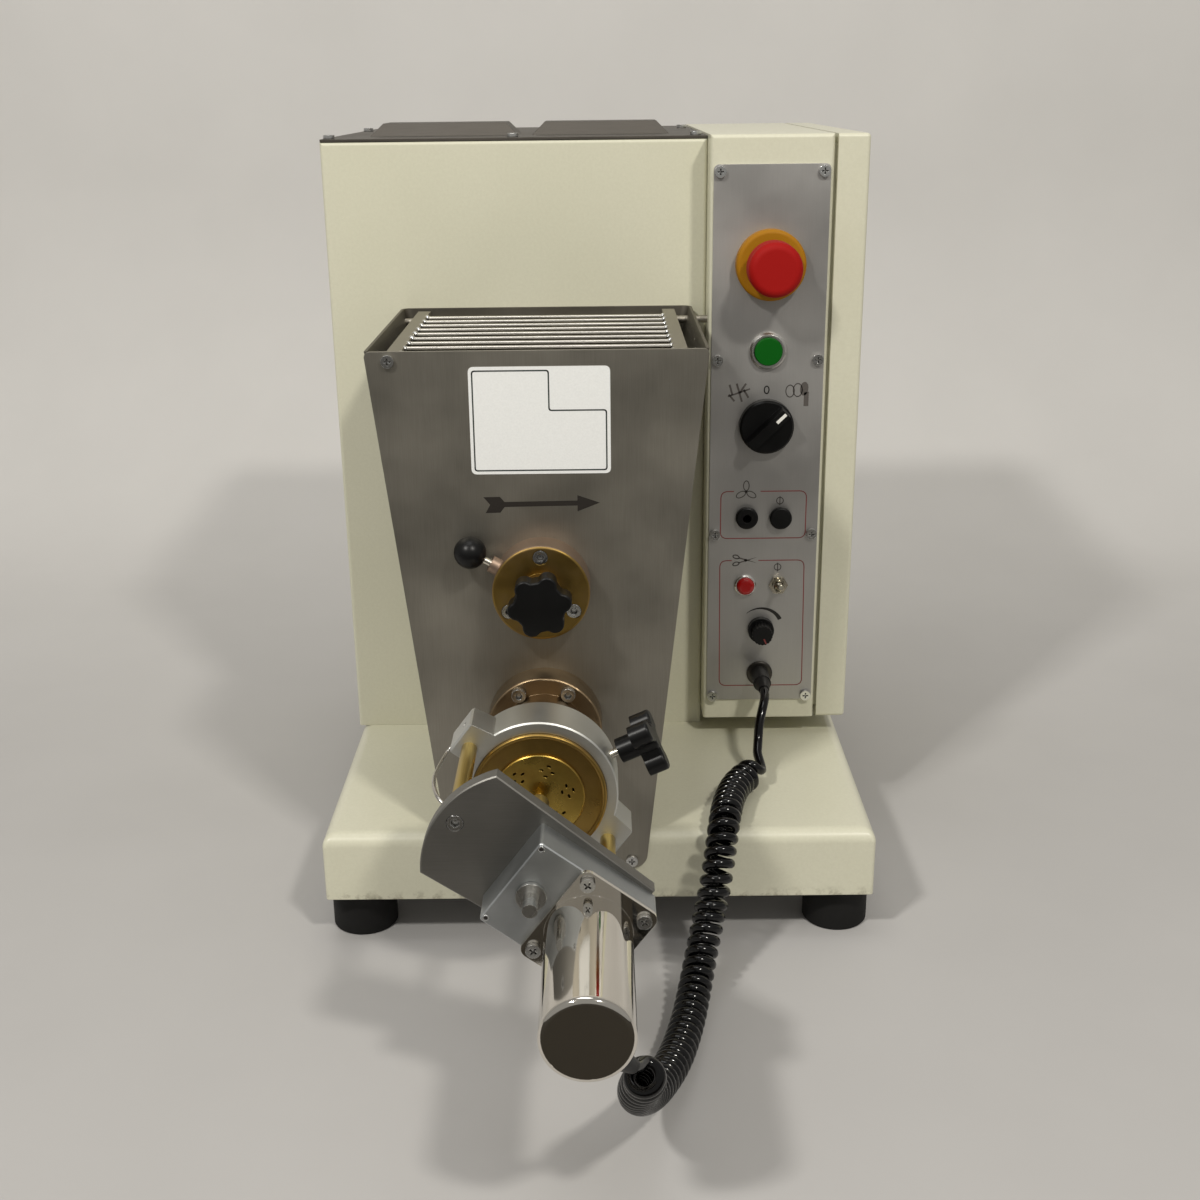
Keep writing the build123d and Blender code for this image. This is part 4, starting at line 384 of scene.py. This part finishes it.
# ------------------------------------------------------------------ control plate
# Brushed anodised aluminium plate, pale and matt, with its signs silk-screened in red and black.
dress(brushed_metal("aluminium_anodised_panel", "#B3B1AE", "#C3C1BE", 0.5, "Z", smear=0.75), "control_plate")


def flat_print(name, shapes, front, thickness, material, body):
    """Thin printed shapes, outlines of (x, z) in millimetres, standing proud of a face at depth front."""
    points = []
    faces = []
    for shape in shapes:
        area = sum(a[0] * b[1] - b[0] * a[1] for a, b in zip(shape, shape[1:] + shape[:1]))
        ring = shape if area > 0 else shape[::-1]
        start = len(points)
        count = len(ring)
        points += [(x * MM, (front - thickness) * MM, z * MM) for x, z in ring]
        points += [(x * MM, front * MM, z * MM) for x, z in ring]
        faces.append(tuple(range(start, start + count)))
        faces.append(tuple(range(start + 2 * count - 1, start + count - 1, -1)))
        for i in range(count):
            j = (i + 1) % count
            faces.append((start + i, start + count + i, start + count + j, start + j))
    made = mesh_object(name, points, faces, material)
    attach(made, body)


def ribbon(line, width, closed=False):
    """Quads that draw a line of a given width through points."""
    ends = list(zip(line, line[1:] + line[:1])) if closed else list(zip(line, line[1:]))
    quads = []
    for (ax, az), (bx, bz) in ends:
        run = Vector((bx - ax, bz - az))
        if run.length < 1e-6:
            continue
        side = Vector((-run.y, run.x)).normalized() * width / 2
        lead_in = run.normalized() * width * 0.25
        ax, az, bx, bz = ax - lead_in.x, az - lead_in.y, bx + lead_in.x, bz + lead_in.y
        quads.append([(ax + side.x, az + side.y), (ax - side.x, az - side.y),
                      (bx - side.x, bz - side.y), (bx + side.x, bz + side.y)])
    return quads


def oval(x, z, half_width, half_height, tilt=0.0, count=28):
    """Points of an ellipse, turned by a tilt in degrees."""
    c, s = cos(radians(tilt)), sin(radians(tilt))
    flat = [(half_width * cos(tau * i / count), half_height * sin(tau * i / count)) for i in range(count)]
    return [(x + c * px - s * pz, z + s * px + c * pz) for px, pz in flat]


def rounded_line(corners, radius, steps=6):
    """A line through corners that are rounded to a radius; its two ends stay as they are."""
    line = [corners[0]]
    for before, corner, after in zip(corners, corners[1:], corners[2:]):
        here = Vector(corner)
        back = (Vector(before) - here).normalized() * radius
        on = (Vector(after) - here).normalized() * radius
        for i in range(steps + 1):
            t = i / steps
            spot = here + back * (1 - t) ** 2 + on * t ** 2
            line.append((spot.x, spot.y))
    return line + [corners[-1]]


def rounded_box(x, z, radius):
    """Outline of a box between pairs of (low, high), its corners rounded."""
    middle = (x[0] + x[1]) / 2
    corners = [(middle, z[0]), (x[1], z[0]), (x[1], z[1]), (x[0], z[1]), (x[0], z[0]), (middle, z[0])]
    return rounded_line(corners, radius)[:-1]


def printing_ink(name, colour):
    """A thin screen-printed ink: flat, satin, slightly uneven."""
    made, tree, place, shader = new_material(name, **{"Roughness": 0.5, "IOR": 1.5})
    cover = add(tree, "ShaderNodeTexNoise", {"Vector": place}, {"Scale": 900.0, "Detail": 2.0})
    lighter = "#" + "".join(f"{min(255, int(colour[i:i + 2], 16) + 14):02X}" for i in (1, 3, 5))
    tree.links.new(blend_colours(tree, cover.outputs["Fac"], colour, lighter), shader.inputs["Base Color"])
    return made


panel_face = 92.5
ink_height = 0.08
red_ink = printing_ink("ink_screen_red", "#7A2E2C")
black_ink = printing_ink("ink_screen_black", "#15110F")
grey_ink = printing_ink("ink_screen_grey", "#4E4945")
fan_box = rounded_line([(136.8, 315.4), (174.8, 315.4), (174.8, 274.8), (103.8, 274.8), (103.8, 315.4),
                        (114.3, 315.4)], 6.0)
cutter_box = rounded_line([(136.5, 255.3), (174.8, 255.3), (176.4, 141.7), (105.0, 141.7), (103.8, 255.3),
                           (113.6, 255.3)], 6.0)
flat_print("panel_boxes", ribbon(fan_box, 0.8) + ribbon(cutter_box, 0.8), panel_face, ink_height, red_ink,
           "root")
fan_sign = []
for angle in (90, 210, 330):
    blade = (124.7 + 5.0 * cos(radians(angle)), 315.2 + 5.0 * sin(radians(angle)))
    fan_sign += ribbon(oval(*blade, 4.2, 2.3, angle), 0.75, closed=True)
push_signs = []
for middle in ((152.9, 307.2), (152.6, 249.3)):
    push_signs += ribbon(oval(*middle, 2.8, 2.8), 0.7, closed=True)
    push_signs += ribbon([(middle[0], middle[1] - 3.7), (middle[0], middle[1] + 3.7)], 0.8)
flat_print("fan_and_push_signs", fan_sign + push_signs, panel_face, ink_height, grey_ink, "root")
scissors = ribbon(oval(117.4, 258.6, 2.7, 1.5, -18), 0.8, closed=True)
scissors += ribbon(oval(117.4, 252.4, 2.7, 1.5, 18), 0.8, closed=True)
scissors += [[(119.4, 258.4), (119.8, 257.0), (135.5, 252.8), (127.5, 255.9)],
             [(119.4, 252.6), (119.8, 254.0), (135.5, 258.4), (127.5, 255.2)],
             oval(125.6, 255.5, 1.5, 1.2)]
shaft_sign = ribbon([(108.4, 395.2), (125.6, 401.0)], 1.3)
for top, bottom in (((109.4, 404.4), (111.6, 396.6)), ((115.2, 405.2), (119.4, 391.0)),
                    ((122.4, 405.2), (117.8, 398.2)), ((121.0, 400.2), (124.6, 394.2)),
                    ((109.0, 396.4), (113.2, 391.4))):
    shaft_sign += ribbon([top, bottom], 1.6)
screw_sign = ribbon(oval(158.4, 399.0, 3.4, 4.9), 0.8, closed=True)
screw_sign += ribbon(oval(164.6, 399.8, 3.6, 5.3), 0.8, closed=True)
screw_sign += [oval(169.8, 400.8, 3.4, 5.6, -6),
               [(169.7, 397.5), (169.7, 386.6), (173.6, 386.6), (173.6, 398.5)]]
flat_print("cutter_and_screw_signs", scissors + shaft_sign + screw_sign, panel_face, ink_height, grey_ink,
           "root")
# The speed arc widens clockwise round the speed knob.
column_middle = 139.5
speed_height = 194.0
arc_from = 131
arc_sweep = 104
speed_arc = []
arc_steps = 22
for i in range(arc_steps):
    strip = []
    for k in (i, i + 1):
        share = k / arc_steps
        turn = radians(arc_from - arc_sweep * share)
        for radius in (18.3 - 1.7 * share, 18.7 + 1.5 * share):
            strip.append((column_middle + radius * cos(turn), speed_height + radius * sin(turn)))
    speed_arc.append([strip[0], strip[1], strip[3], strip[2]])
flat_print("speed_arc_and_zero", speed_arc + ribbon(oval(139.4, 400.2, 1.9, 3.0), 0.9, closed=True)
           + [oval(124.7, 315.2, 1.1, 1.1)], panel_face, ink_height, black_ink, "root")

# ------------------------------------------------------------------ stop, start and lamp
# Moulded nylon and polycarbonate push buttons in satin chromed bezels, with an acrylic lens.
dress(moulded_plastic("nylon_yellow", "#A97307", "#9B6905", 0.6, gloss=0.2), "estop_collar")
dress(moulded_plastic("abs_red", "#A5100C", "#960D0A", 0.62, gloss=0.15), "estop_mushroom")
dress(moulded_plastic("abs_green", "#03600F", "#02530C", 0.5, gloss=0.15), "start_button")
dress(moulded_plastic("acrylic_red_lens", "#A80A0A", "#8C0606", 0.1, gloss=0.6), "lamp_lens")
dress(brushed_metal("chrome_satin", "#DAD8D4", "#E8E6E2", 0.24, "Y", smear=0.8), "start_bezel", "lamp_bezel")
dress(brushed_metal("nickel_plated", "#AFA897", "#C6BFAE", 0.16, "Y", smear=0.8), "toggle_switch",
      "toggle_lever")
dress(brushed_metal("nickel_blackened", "#45423E", "#575450", 0.35, "Y"), "cutter_socket")

# ------------------------------------------------------------------ knobs
# Phenolic selector with a white filled pointer, and a fluted speed knob with a red mark.
phenolic = moulded_plastic("phenolic_black", "#0D0D0D", "#070707", 0.38, gloss=0.25)
dress(phenolic, "selector_knob", "fan_socket", "fan_button", "speed_knob", "star_knob", "mains_inlet",
      "cord_gland")
dress(moulded_plastic("pvc_dark_grey", "#232221", "#1A1918", 0.42), "cutter_plug")
selector_height = 371.0
selector_face = 71.2
speed_face = 74.2
paint_height = 0.12
pointer_turn = radians(44)
mark_turn = radians(156)
pointer_ends = [(column_middle + r * cos(pointer_turn), selector_height + r * sin(pointer_turn))
                for r in (9.8, 18.4)]
flat_print("selector_pointer", ribbon(pointer_ends, 2.5), selector_face, paint_height,
           printing_ink("paint_fill_white", "#E6E5DE"), "selector")
mark_ends = [(column_middle + r * sin(mark_turn), speed_height + r * cos(mark_turn)) for r in (3.4, 7.6)]
flat_print("speed_mark", ribbon(mark_ends, 1.2), speed_face, paint_height, red_ink, "speed_dial")

# ------------------------------------------------------------------ contact blocks, switches and motors
# Glass-filled nylon housings and enamelled motors, all inside the cabinet.
dress(moulded_plastic("nylon_grey", "#8C8E90", "#7F8183", 0.5), "contact_blocks", "cam_switch",
      "lid_interlock")
dress(moulded_plastic("motor_enamel_grey", "#4A5056", "#42484E", 0.45), "cutter_motor", "drive_motor")

# ------------------------------------------------------------------ hopper
# Cold-rolled stainless, brushed by hand and smudged: dark grey, with soft vertical lines.
dress(brushed_metal("stainless_brushed_plate", "#908C82", "#A8A398", 0.48, "Z", smear=0.7),
      "hopper_front_plate")
dress(brushed_metal("stainless_brushed_tub", "#6B675E", "#7C776D", 0.5, "Z", smear=0.8), "hopper_tub")

# Blank plate where a sign would be: white PVC film with a thin dark line, and a turning arrow below it.
plate_face = -87.0
film = printing_ink("pvc_film_white", "#E3E4E2")
flat_print("blank_sign", [rounded_box((-85.9, 11.6), (378.0, 453.5), 4.0)], plate_face, 0.25, film, "root")
sign_line = rounded_line([(-50.0, 380.6), (8.8, 380.6), (8.8, 422.9), (-30.8, 422.9), (-30.8, 450.6),
                          (-83.3, 450.6), (-83.3, 380.6), (-50.0, 380.6)], 2.0)
flat_print("sign_line", ribbon(sign_line, 1.0), plate_face - 0.25, ink_height,
           printing_ink("ink_dark_green_grey", "#2F3532"), "root")
etched_arrow = [(-78.4, 361.4), (-66.8, 361.6), (-63.6, 357.8), (-12.2, 358.3), (-12.2, 362.2),
                (3.6, 356.6), (-12.2, 350.4), (-12.2, 354.7), (-63.6, 354.1), (-66.8, 350.0),
                (-77.2, 349.8), (-73.8, 355.8)]
flat_print("turning_arrow", [etched_arrow], plate_face, ink_height,
           printing_ink("etch_dark_brown", "#1C1712"), "root")

# ------------------------------------------------------------------ wire lid
# Drawn stainless rods welded between two flat bars: bright rods, dull bars, and a bead at each rod's end.
lid_steel = brushed_metal("stainless_drawn_rod", "#C4BFB5", "#DCD7CD", 0.16, "X", line=0.6 * MM)


def on_lid_bars(tree):
    """High on the two flat bars, whose inner sides are 93.4 mm from the middle of the lid."""
    spot = add(tree, "ShaderNodeSeparateXYZ", {"Vector": add(tree, "ShaderNodeTexCoord").outputs["Object"]})
    from_middle = add(tree, "ShaderNodeMath", {0: spot.outputs["X"]}, {1: -hub_axis[0] * MM},
                      operation="ADD")
    size = add(tree, "ShaderNodeMath", {0: from_middle.outputs["Value"]}, operation="ABSOLUTE")
    return add(tree, "ShaderNodeMath", {0: size.outputs["Value"]}, {1: 93.4 * MM},
               operation="GREATER_THAN").outputs["Value"]


overlay_tone_or_shade(lid_steel, on_lid_bars, "#9A958A", 0.5)
dress(lid_steel, "grille_lid")
bead, bead_sizes, bead_whole = repeat_tree("weld_beads", screw_steel, [
    ("Bead Radius", "NodeSocketFloat"), ("Unevenness", "NodeSocketFloat"), ("Seed", "NodeSocketInt")])
ball = add(bead, "GeometryNodeMeshIcoSphere", {"Radius": bead_sizes.outputs["Bead Radius"]},
           {"Subdivisions": 2})
smooth_ball = add(bead, "GeometryNodeSetShadeSmooth", {"Geometry": ball.outputs["Mesh"]})
least = add(bead, "ShaderNodeMath", {1: bead_sizes.outputs["Unevenness"]}, {0: 1.0}, operation="SUBTRACT")
most = add(bead, "ShaderNodeMath", {1: bead_sizes.outputs["Unevenness"]}, {0: 1.0}, operation="ADD")
uneven = add(bead, "FunctionNodeRandomValue", {"Seed": bead_sizes.outputs["Seed"]}, data_type="FLOAT_VECTOR")
bead.links.new(least.outputs["Value"], uneven.inputs[0])
bead.links.new(most.outputs["Value"], uneven.inputs[1])
beads = add(bead, "GeometryNodeInstanceOnPoints", {"Points": bead_sizes.outputs["Geometry"],
                                                   "Instance": smooth_ball.outputs["Geometry"],
                                                   "Scale": uneven.outputs[0]})
bead.links.new(beads.outputs["Instances"], bead_whole.inputs["Geometry"])
rod_count = 9
rod_height = 461.5
first_rod = -77.0
bar_middles = (-132.0, 55.0)
lid_back = 112.0
lid_front = -82.0
end_bar = 10.0
rod_pitch = (lid_back - lid_front - end_bar) / rod_count
bead_seeds = [Vector((x, first_rod + rod_pitch * i, rod_height)) * MM for x in bar_middles
              for i in range(rod_count)]
weld_beads = grow("lid_weld_beads", bead_seeds, bead, {"Bead Radius": 2.4 * MM, "Unevenness": 0.2, "Seed": 7})
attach(weld_beads, "lid")
dress(brushed_metal("steel_ground_bright", "#BDB9B2", "#D0CCC5", 0.22, "Y"), "mixer_shaft", "auger",
      "clamp_spring")


# ------------------------------------------------------------------ mixer hub, extruder and die
# Cast bronze and brass, turned on a lathe: fine rings round each axis, and stains from dough and oil.
def from_axis(tree, place, axis):
    """The distance from an axis along Y through (x, z) in millimetres."""
    centred = add(tree, "ShaderNodeMapping", {"Vector": place},
                  {"Location": (-axis[0] * MM, 0.0, -axis[1] * MM), "Scale": (1.0, 0.0, 1.0)})
    return add(tree, "ShaderNodeVectorMath", {0: centred.outputs["Vector"]},
               operation="LENGTH").outputs["Value"]


def turned_metal(name, dark, light, stain, roughness, axis, line=0.5 * MM):
    """A turned metal with rings round an axis along Y through (x, z) in millimetres, and soft stains."""
    made, tree, place, shader = new_material(name, **{"Metallic": 1.0, "Roughness": roughness})
    depth = add(tree, "ShaderNodeSeparateXYZ", {"Vector": place})
    rings_at = add(tree, "ShaderNodeCombineXYZ", {"X": from_axis(tree, place, axis), "Y": depth.outputs["Y"]})
    rings = add(tree, "ShaderNodeTexNoise", {"Vector": rings_at.outputs["Vector"]},
                {"Scale": 1.0 / line, "Detail": 2.0})
    stains = add(tree, "ShaderNodeTexNoise", {"Vector": place}, {"Scale": 60.0, "Detail": 6.0})
    tone = blend_colours(tree, rings.outputs["Fac"], dark, light)
    share = add(tree, "ShaderNodeMapRange", {"Value": stains.outputs["Fac"]},
                {"From Min": 0.45, "From Max": 0.7, "To Min": 0.0, "To Max": 0.6})
    tree.links.new(blend_colours(tree, share.outputs["Result"], tone, stain), shader.inputs["Base Color"])
    dull_unevenly(tree, shader, stains.outputs["Fac"], roughness - 0.06, roughness + 0.1)
    soften(tree, shader, rings.outputs["Fac"], 0.1, 0.05 * MM, edge=0.5 * MM)
    return made


hub_bronze = turned_metal("bronze_turned_hub", "#8A703A", "#9D8247", "#86704E", 0.38, hub_axis)


def on_hub_rim(tree):
    """High on the hub's cast rim, which is duller and pinker than its turned face."""
    radius = from_axis(tree, add(tree, "ShaderNodeTexCoord").outputs["Object"], hub_axis)
    return add(tree, "ShaderNodeMapRange", {"Value": radius},
               {"From Min": 34.2 * MM, "From Max": 34.6 * MM}).outputs["Result"]


overlay_tone_or_shade(hub_bronze, on_hub_rim, "#A18C7B", 0.5)
dress(hub_bronze, "mixer_hub")
dress(turned_metal("bronze_turned_barrel", "#8C7960", "#A48F71", "#7F6D55", 0.34, extruder_axis),
      "extruder_barrel")
dress(turned_metal("brass_turned_nut", "#977A42", "#AE9050", "#80653A", 0.32, extruder_axis), "die_nut")
dress(turned_metal("bronze_polished_die", "#B4964A", "#CBAE5A", "#957336", 0.28, extruder_axis), "die")


# ------------------------------------------------------------------ index plunger and clamp knob
# Black phenolic grips moulded on steel pins: the material turns to bright steel along the pin.
def grip_on_pin(name, origin, way, steel_until):
    """Black phenolic that is steel up to a distance along a way from an origin, in millimetres."""
    made, tree, place, shader = new_material(name, **{"IOR": 1.5, "Specular IOR Level": 0.25})
    offset = add(tree, "ShaderNodeVectorMath", {0: place}, {1: Vector(origin) * MM}, operation="SUBTRACT")
    along = add(tree, "ShaderNodeVectorMath", {0: offset.outputs["Vector"]}, {1: way},
                operation="DOT_PRODUCT")
    steel = add(tree, "ShaderNodeMath", {0: along.outputs["Value"]}, {1: steel_until * MM},
                operation="LESS_THAN")
    tree.links.new(blend_colours(tree, steel.outputs["Value"], "#101010", "#D9D4C8"),
                   shader.inputs["Base Color"])
    tree.links.new(steel.outputs["Value"], shader.inputs["Metallic"])
    dull = add(tree, "ShaderNodeMapRange", {"Value": steel.outputs["Value"]}, {"To Min": 0.34, "To Max": 0.2})
    tree.links.new(dull.outputs["Result"], shader.inputs["Roughness"])
    rounded = add(tree, "ShaderNodeBevel", values={"Radius": 0.4 * MM}, samples=4)
    tree.links.new(rounded.outputs["Normal"], shader.inputs["Normal"])
    return made


def square_to_axis(degrees):
    """The direction square to the machine's depth, at an angle above level."""
    return cos(radians(degrees)), 0.0, sin(radians(degrees))


dress(grip_on_pin("phenolic_ball_on_pin", (hub_axis[0], -101.0, hub_axis[1]), square_to_axis(150.5), 46.0),
      "plunger_ball")
dress(grip_on_pin("phenolic_knob_on_stud", (extruder_axis[0], -193.0, extruder_axis[1]), square_to_axis(24),
                  58.4), "clamp_knob")

# ------------------------------------------------------------------ cutter unit
# Machined aluminium ring and plate, brass standoffs, a die-cast zinc gearbox and a deep-drawn,
# mirror-polished stainless cup over the motor.
dress(brushed_metal("aluminium_machined", "#C6C6C1", "#D6D6D1", 0.45, "X", smear=0.7), "clamp_ring")
dress(brushed_metal("aluminium_rolled_plate", "#7B7974", "#8E8C87", 0.45, "X", smear=0.7), "cutter_plate")
dress(brushed_metal("brass_drawn", "#B09750", "#CBB36B", 0.3, "Y"), "cutter_standoffs")
dress(brushed_metal("zinc_die_cast", "#A2A5A6", "#C4C7C8", 0.46, "X", line=0.8 * MM, smear=0.95),
      "cutter_gearbox")
dress(brushed_metal("steel_ground_shaft", "#B9B8B4", "#D2D1CD", 0.3, "Y"), "cutter_blade")
dress(brushed_metal("stainless_mirror_polished", "#DAD5CC", "#E6E1D8", 0.06, "Y", smear=0.8), "motor_cup")
dress(brushed_metal("steel_machined_gear", "#77787A", "#8F9092", 0.35, "Z"), "cutter_pinion", "cutter_idler",
      "drive_pinion", "mixer_gear", "auger_gear")


def turned(name, profile, middle, material, body, segments=24):
    """A turned shape round an axis along -Y: (radius, height) pairs in millimetres over a middle point."""
    points = []
    faces = []
    for radius, height in profile:
        for i in range(segments):
            turn = tau * i / segments
            points.append((Vector(middle) + Vector((radius * cos(turn), -height, radius * sin(turn)))) * MM)
    rows = len(profile)
    for row in range(rows - 1):
        for i in range(segments):
            j = (i + 1) % segments
            faces.append((row * segments + i, row * segments + j, (row + 1) * segments + j,
                          (row + 1) * segments + i))
    faces.append(tuple(range(segments - 1, -1, -1)))
    faces.append(tuple(range((rows - 1) * segments, rows * segments)))
    made = mesh_object(name, points, faces, material, smooth=True)
    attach(made, body)


def cutter_place(u, v, depth):
    """A point of the cutter unit: u from the auger axis to the motor, v square to it, at a depth."""
    turn = radians(cutter_turn)
    return (extruder_axis[0] + u * cos(turn) - v * sin(turn), depth,
            extruder_axis[1] + u * sin(turn) + v * cos(turn))


# Ejector marks at the gearbox's free corners: small lighter rings, each round a black disc that is painted
# shade standing for the hollow of its dimple.
gearbox_front = -338.0
dimple_rim = brushed_metal("zinc_worn_bright", "#C9CACA", "#DCDDDD", 0.3, "X")
for number, corner in enumerate(((-12.6, 28.0), (-12.6, -28.0))):
    spot = cutter_place(*corner, gearbox_front)
    turned(f"gearbox_mark_rim_{number}", [(2.1, 0.0), (2.0, 0.3), (1.4, 0.3), (1.3, 0.05)], spot, dimple_rim,
           "root")
    # Painted shade: a black disc in the middle of the ring, in place of the shaded hollow of the dimple.
    turned(f"gearbox_mark_{number}", [(1.3, 0.0), (1.2, 0.12)], spot, black_ink, "root")

# ------------------------------------------------------------------ cutter lead
# The curly lead of the cutter motor: glossy black polyurethane over copper, wound on a mandrel and baked,
# so that it springs back. It runs from the plug on the panel to the gland on the motor cup.
lead_diameter = 7.5 * MM
helix_radius = 8.7 * MM
coil_pitch = 8.3 * MM
points_per_turn = 20
straight_end = 15.0 * MM
gland_way = Vector((0.45, 0.55, -0.70)).normalized()
gland_tip = Vector((0.0186, -0.4243, 0.1357))
route_points = [
    (0.1395, 0.054, 0.1533), (0.1395, 0.0415, 0.1533), (0.136, 0.030, 0.147), (0.1325, 0.0225, 0.136),
    (0.1315, 0.017, 0.1245), (0.130, 0.007, 0.1175), (0.128, -0.006333, 0.108167), (0.112, -0.024, 0.1068),
    (0.102, -0.055, 0.1085), (0.095, -0.094, 0.1085), (0.0895, -0.118, 0.087), (0.084, -0.131, 0.062),
    (0.0764, -0.150, 0.039), (0.069, -0.178, 0.0215), (0.061, -0.217, 0.015), (0.0495, -0.264, 0.019),
    (0.035, -0.309, 0.032), (0.0245, -0.349, 0.057), (0.0215, -0.383, 0.089),
    tuple(gland_tip + gland_way * 21.5 * MM), tuple(gland_tip)]


def nurbs_line(name, points):
    """A curve object with one open, smooth NURBS spline that has these control points."""
    curve = bpy.data.curves.new(name, "CURVE")
    curve.dimensions = "3D"
    curve.resolution_u = 16
    spline = curve.splines.new("NURBS")
    spline.points.add(len(points) - 1)
    for point, at in zip(spline.points, points):
        point.co = (*at, 1.0)
    spline.order_u = 3
    spline.use_endpoint_u = True
    made = bpy.data.objects.new(name, curve)
    bpy.context.scene.collection.objects.link(made)
    return made


route = nurbs_line("lead_route", route_points)
route_mesh = bpy.data.meshes.new_from_object(route.evaluated_get(bpy.context.evaluated_depsgraph_get()))
centre_line = [v.co.copy() for v in route_mesh.vertices]
bpy.data.objects.remove(route)
steps = [0.0]
for before, after in zip(centre_line, centre_line[1:]):
    steps.append(steps[-1] + (after - before).length)
route_length = steps[-1]
coil_starts_at = -4.0 * MM
coil_from = next(s for s, p in zip(steps, centre_line) if p.y < coil_starts_at)
coil_to = route_length - straight_end


def on_route(distance):
    """The point and the direction of the route at a distance along it."""
    i = min(max(bisect_right(steps, distance) - 1, 0), len(steps) - 2)
    share = (distance - steps[i]) / (steps[i + 1] - steps[i])
    return centre_line[i].lerp(centre_line[i + 1], share), (centre_line[i + 1] - centre_line[i]).normalized()


# The turns nearly touch: the pitch grows where the route bends, a few turns stand apart, as on a cord that
# has been pulled, and the end turns open out. Slack places and widths are shares of the coil.
slack_places = (0.268, 0.288, 0.31)
slack_width = 0.008
slack_growth = 0.45
tail_length = 9.0 * MM
tail_growth = 3.0
bend_reach = 7.0 * MM
sharpest_bend = 60.0
winding = []
side_way = Vector((1.0, 0.0, 0.0))
distance = coil_from
while distance < coil_to:
    spot, along = on_route(distance)
    bend = on_route(distance - bend_reach)[1].angle(on_route(distance + bend_reach)[1]) / (2 * bend_reach)
    share = (distance - coil_from) / (coil_to - coil_from)
    slack = slack_growth * sum(max(0.0, 1.0 - abs(share - place) / slack_width) for place in slack_places)
    from_end = min(distance - coil_from, coil_to - distance)
    slack += tail_growth * max(0.0, 1.0 - from_end / tail_length)
    pitch = coil_pitch / (1.0 - helix_radius * min(bend, sharpest_bend)) * (1.0 + slack)
    side_way = (side_way - along * side_way.dot(along)).normalized()
    up_way = along.cross(side_way)
    winding.append((spot, side_way.copy(), up_way))
    distance += pitch / points_per_turn
end_radius_share = 0.7
radius_step = 0.06
lead_ends_before = 11.0 * MM
gland_stub = 6.0 * MM
coil = []
for i, (spot, side_way, up_way) in enumerate(winding):
    grow_share = min(1.0, end_radius_share + radius_step * min(i, len(winding) - 1 - i))
    turn = tau * i / points_per_turn
    coil.append(spot + helix_radius * grow_share * (cos(turn) * side_way + sin(turn) * up_way))
lead_line = [p for s, p in zip(steps, centre_line) if s < coil_from - lead_ends_before][::4]
lead_line += coil
lead_line += [gland_tip + gland_way * gland_stub, gland_tip]
lead = nurbs_line("curly_lead", lead_line)
lead.data.resolution_u = 2
lead.data.bevel_depth = lead_diameter / 2
lead.data.bevel_resolution = 4
lead.data.use_fill_caps = True

lead_skin, tree, place, shader = new_material(
    "polyurethane_glossy_black", **{"Base Color": linear("#060607"), "IOR": 1.45})
scuffs = add(tree, "ShaderNodeTexNoise", {"Vector": place}, {"Scale": 180.0, "Detail": 4.0})
dullness = add(tree, "ShaderNodeMapRange", {"Value": scuffs.outputs["Fac"]}, {"To Min": 0.08, "To Max": 0.2})
tree.links.new(dullness.outputs["Result"], shader.inputs["Roughness"])
lead.data.materials.append(lead_skin)
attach(lead, "root")
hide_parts("cutter_lead", "cutter_coil")
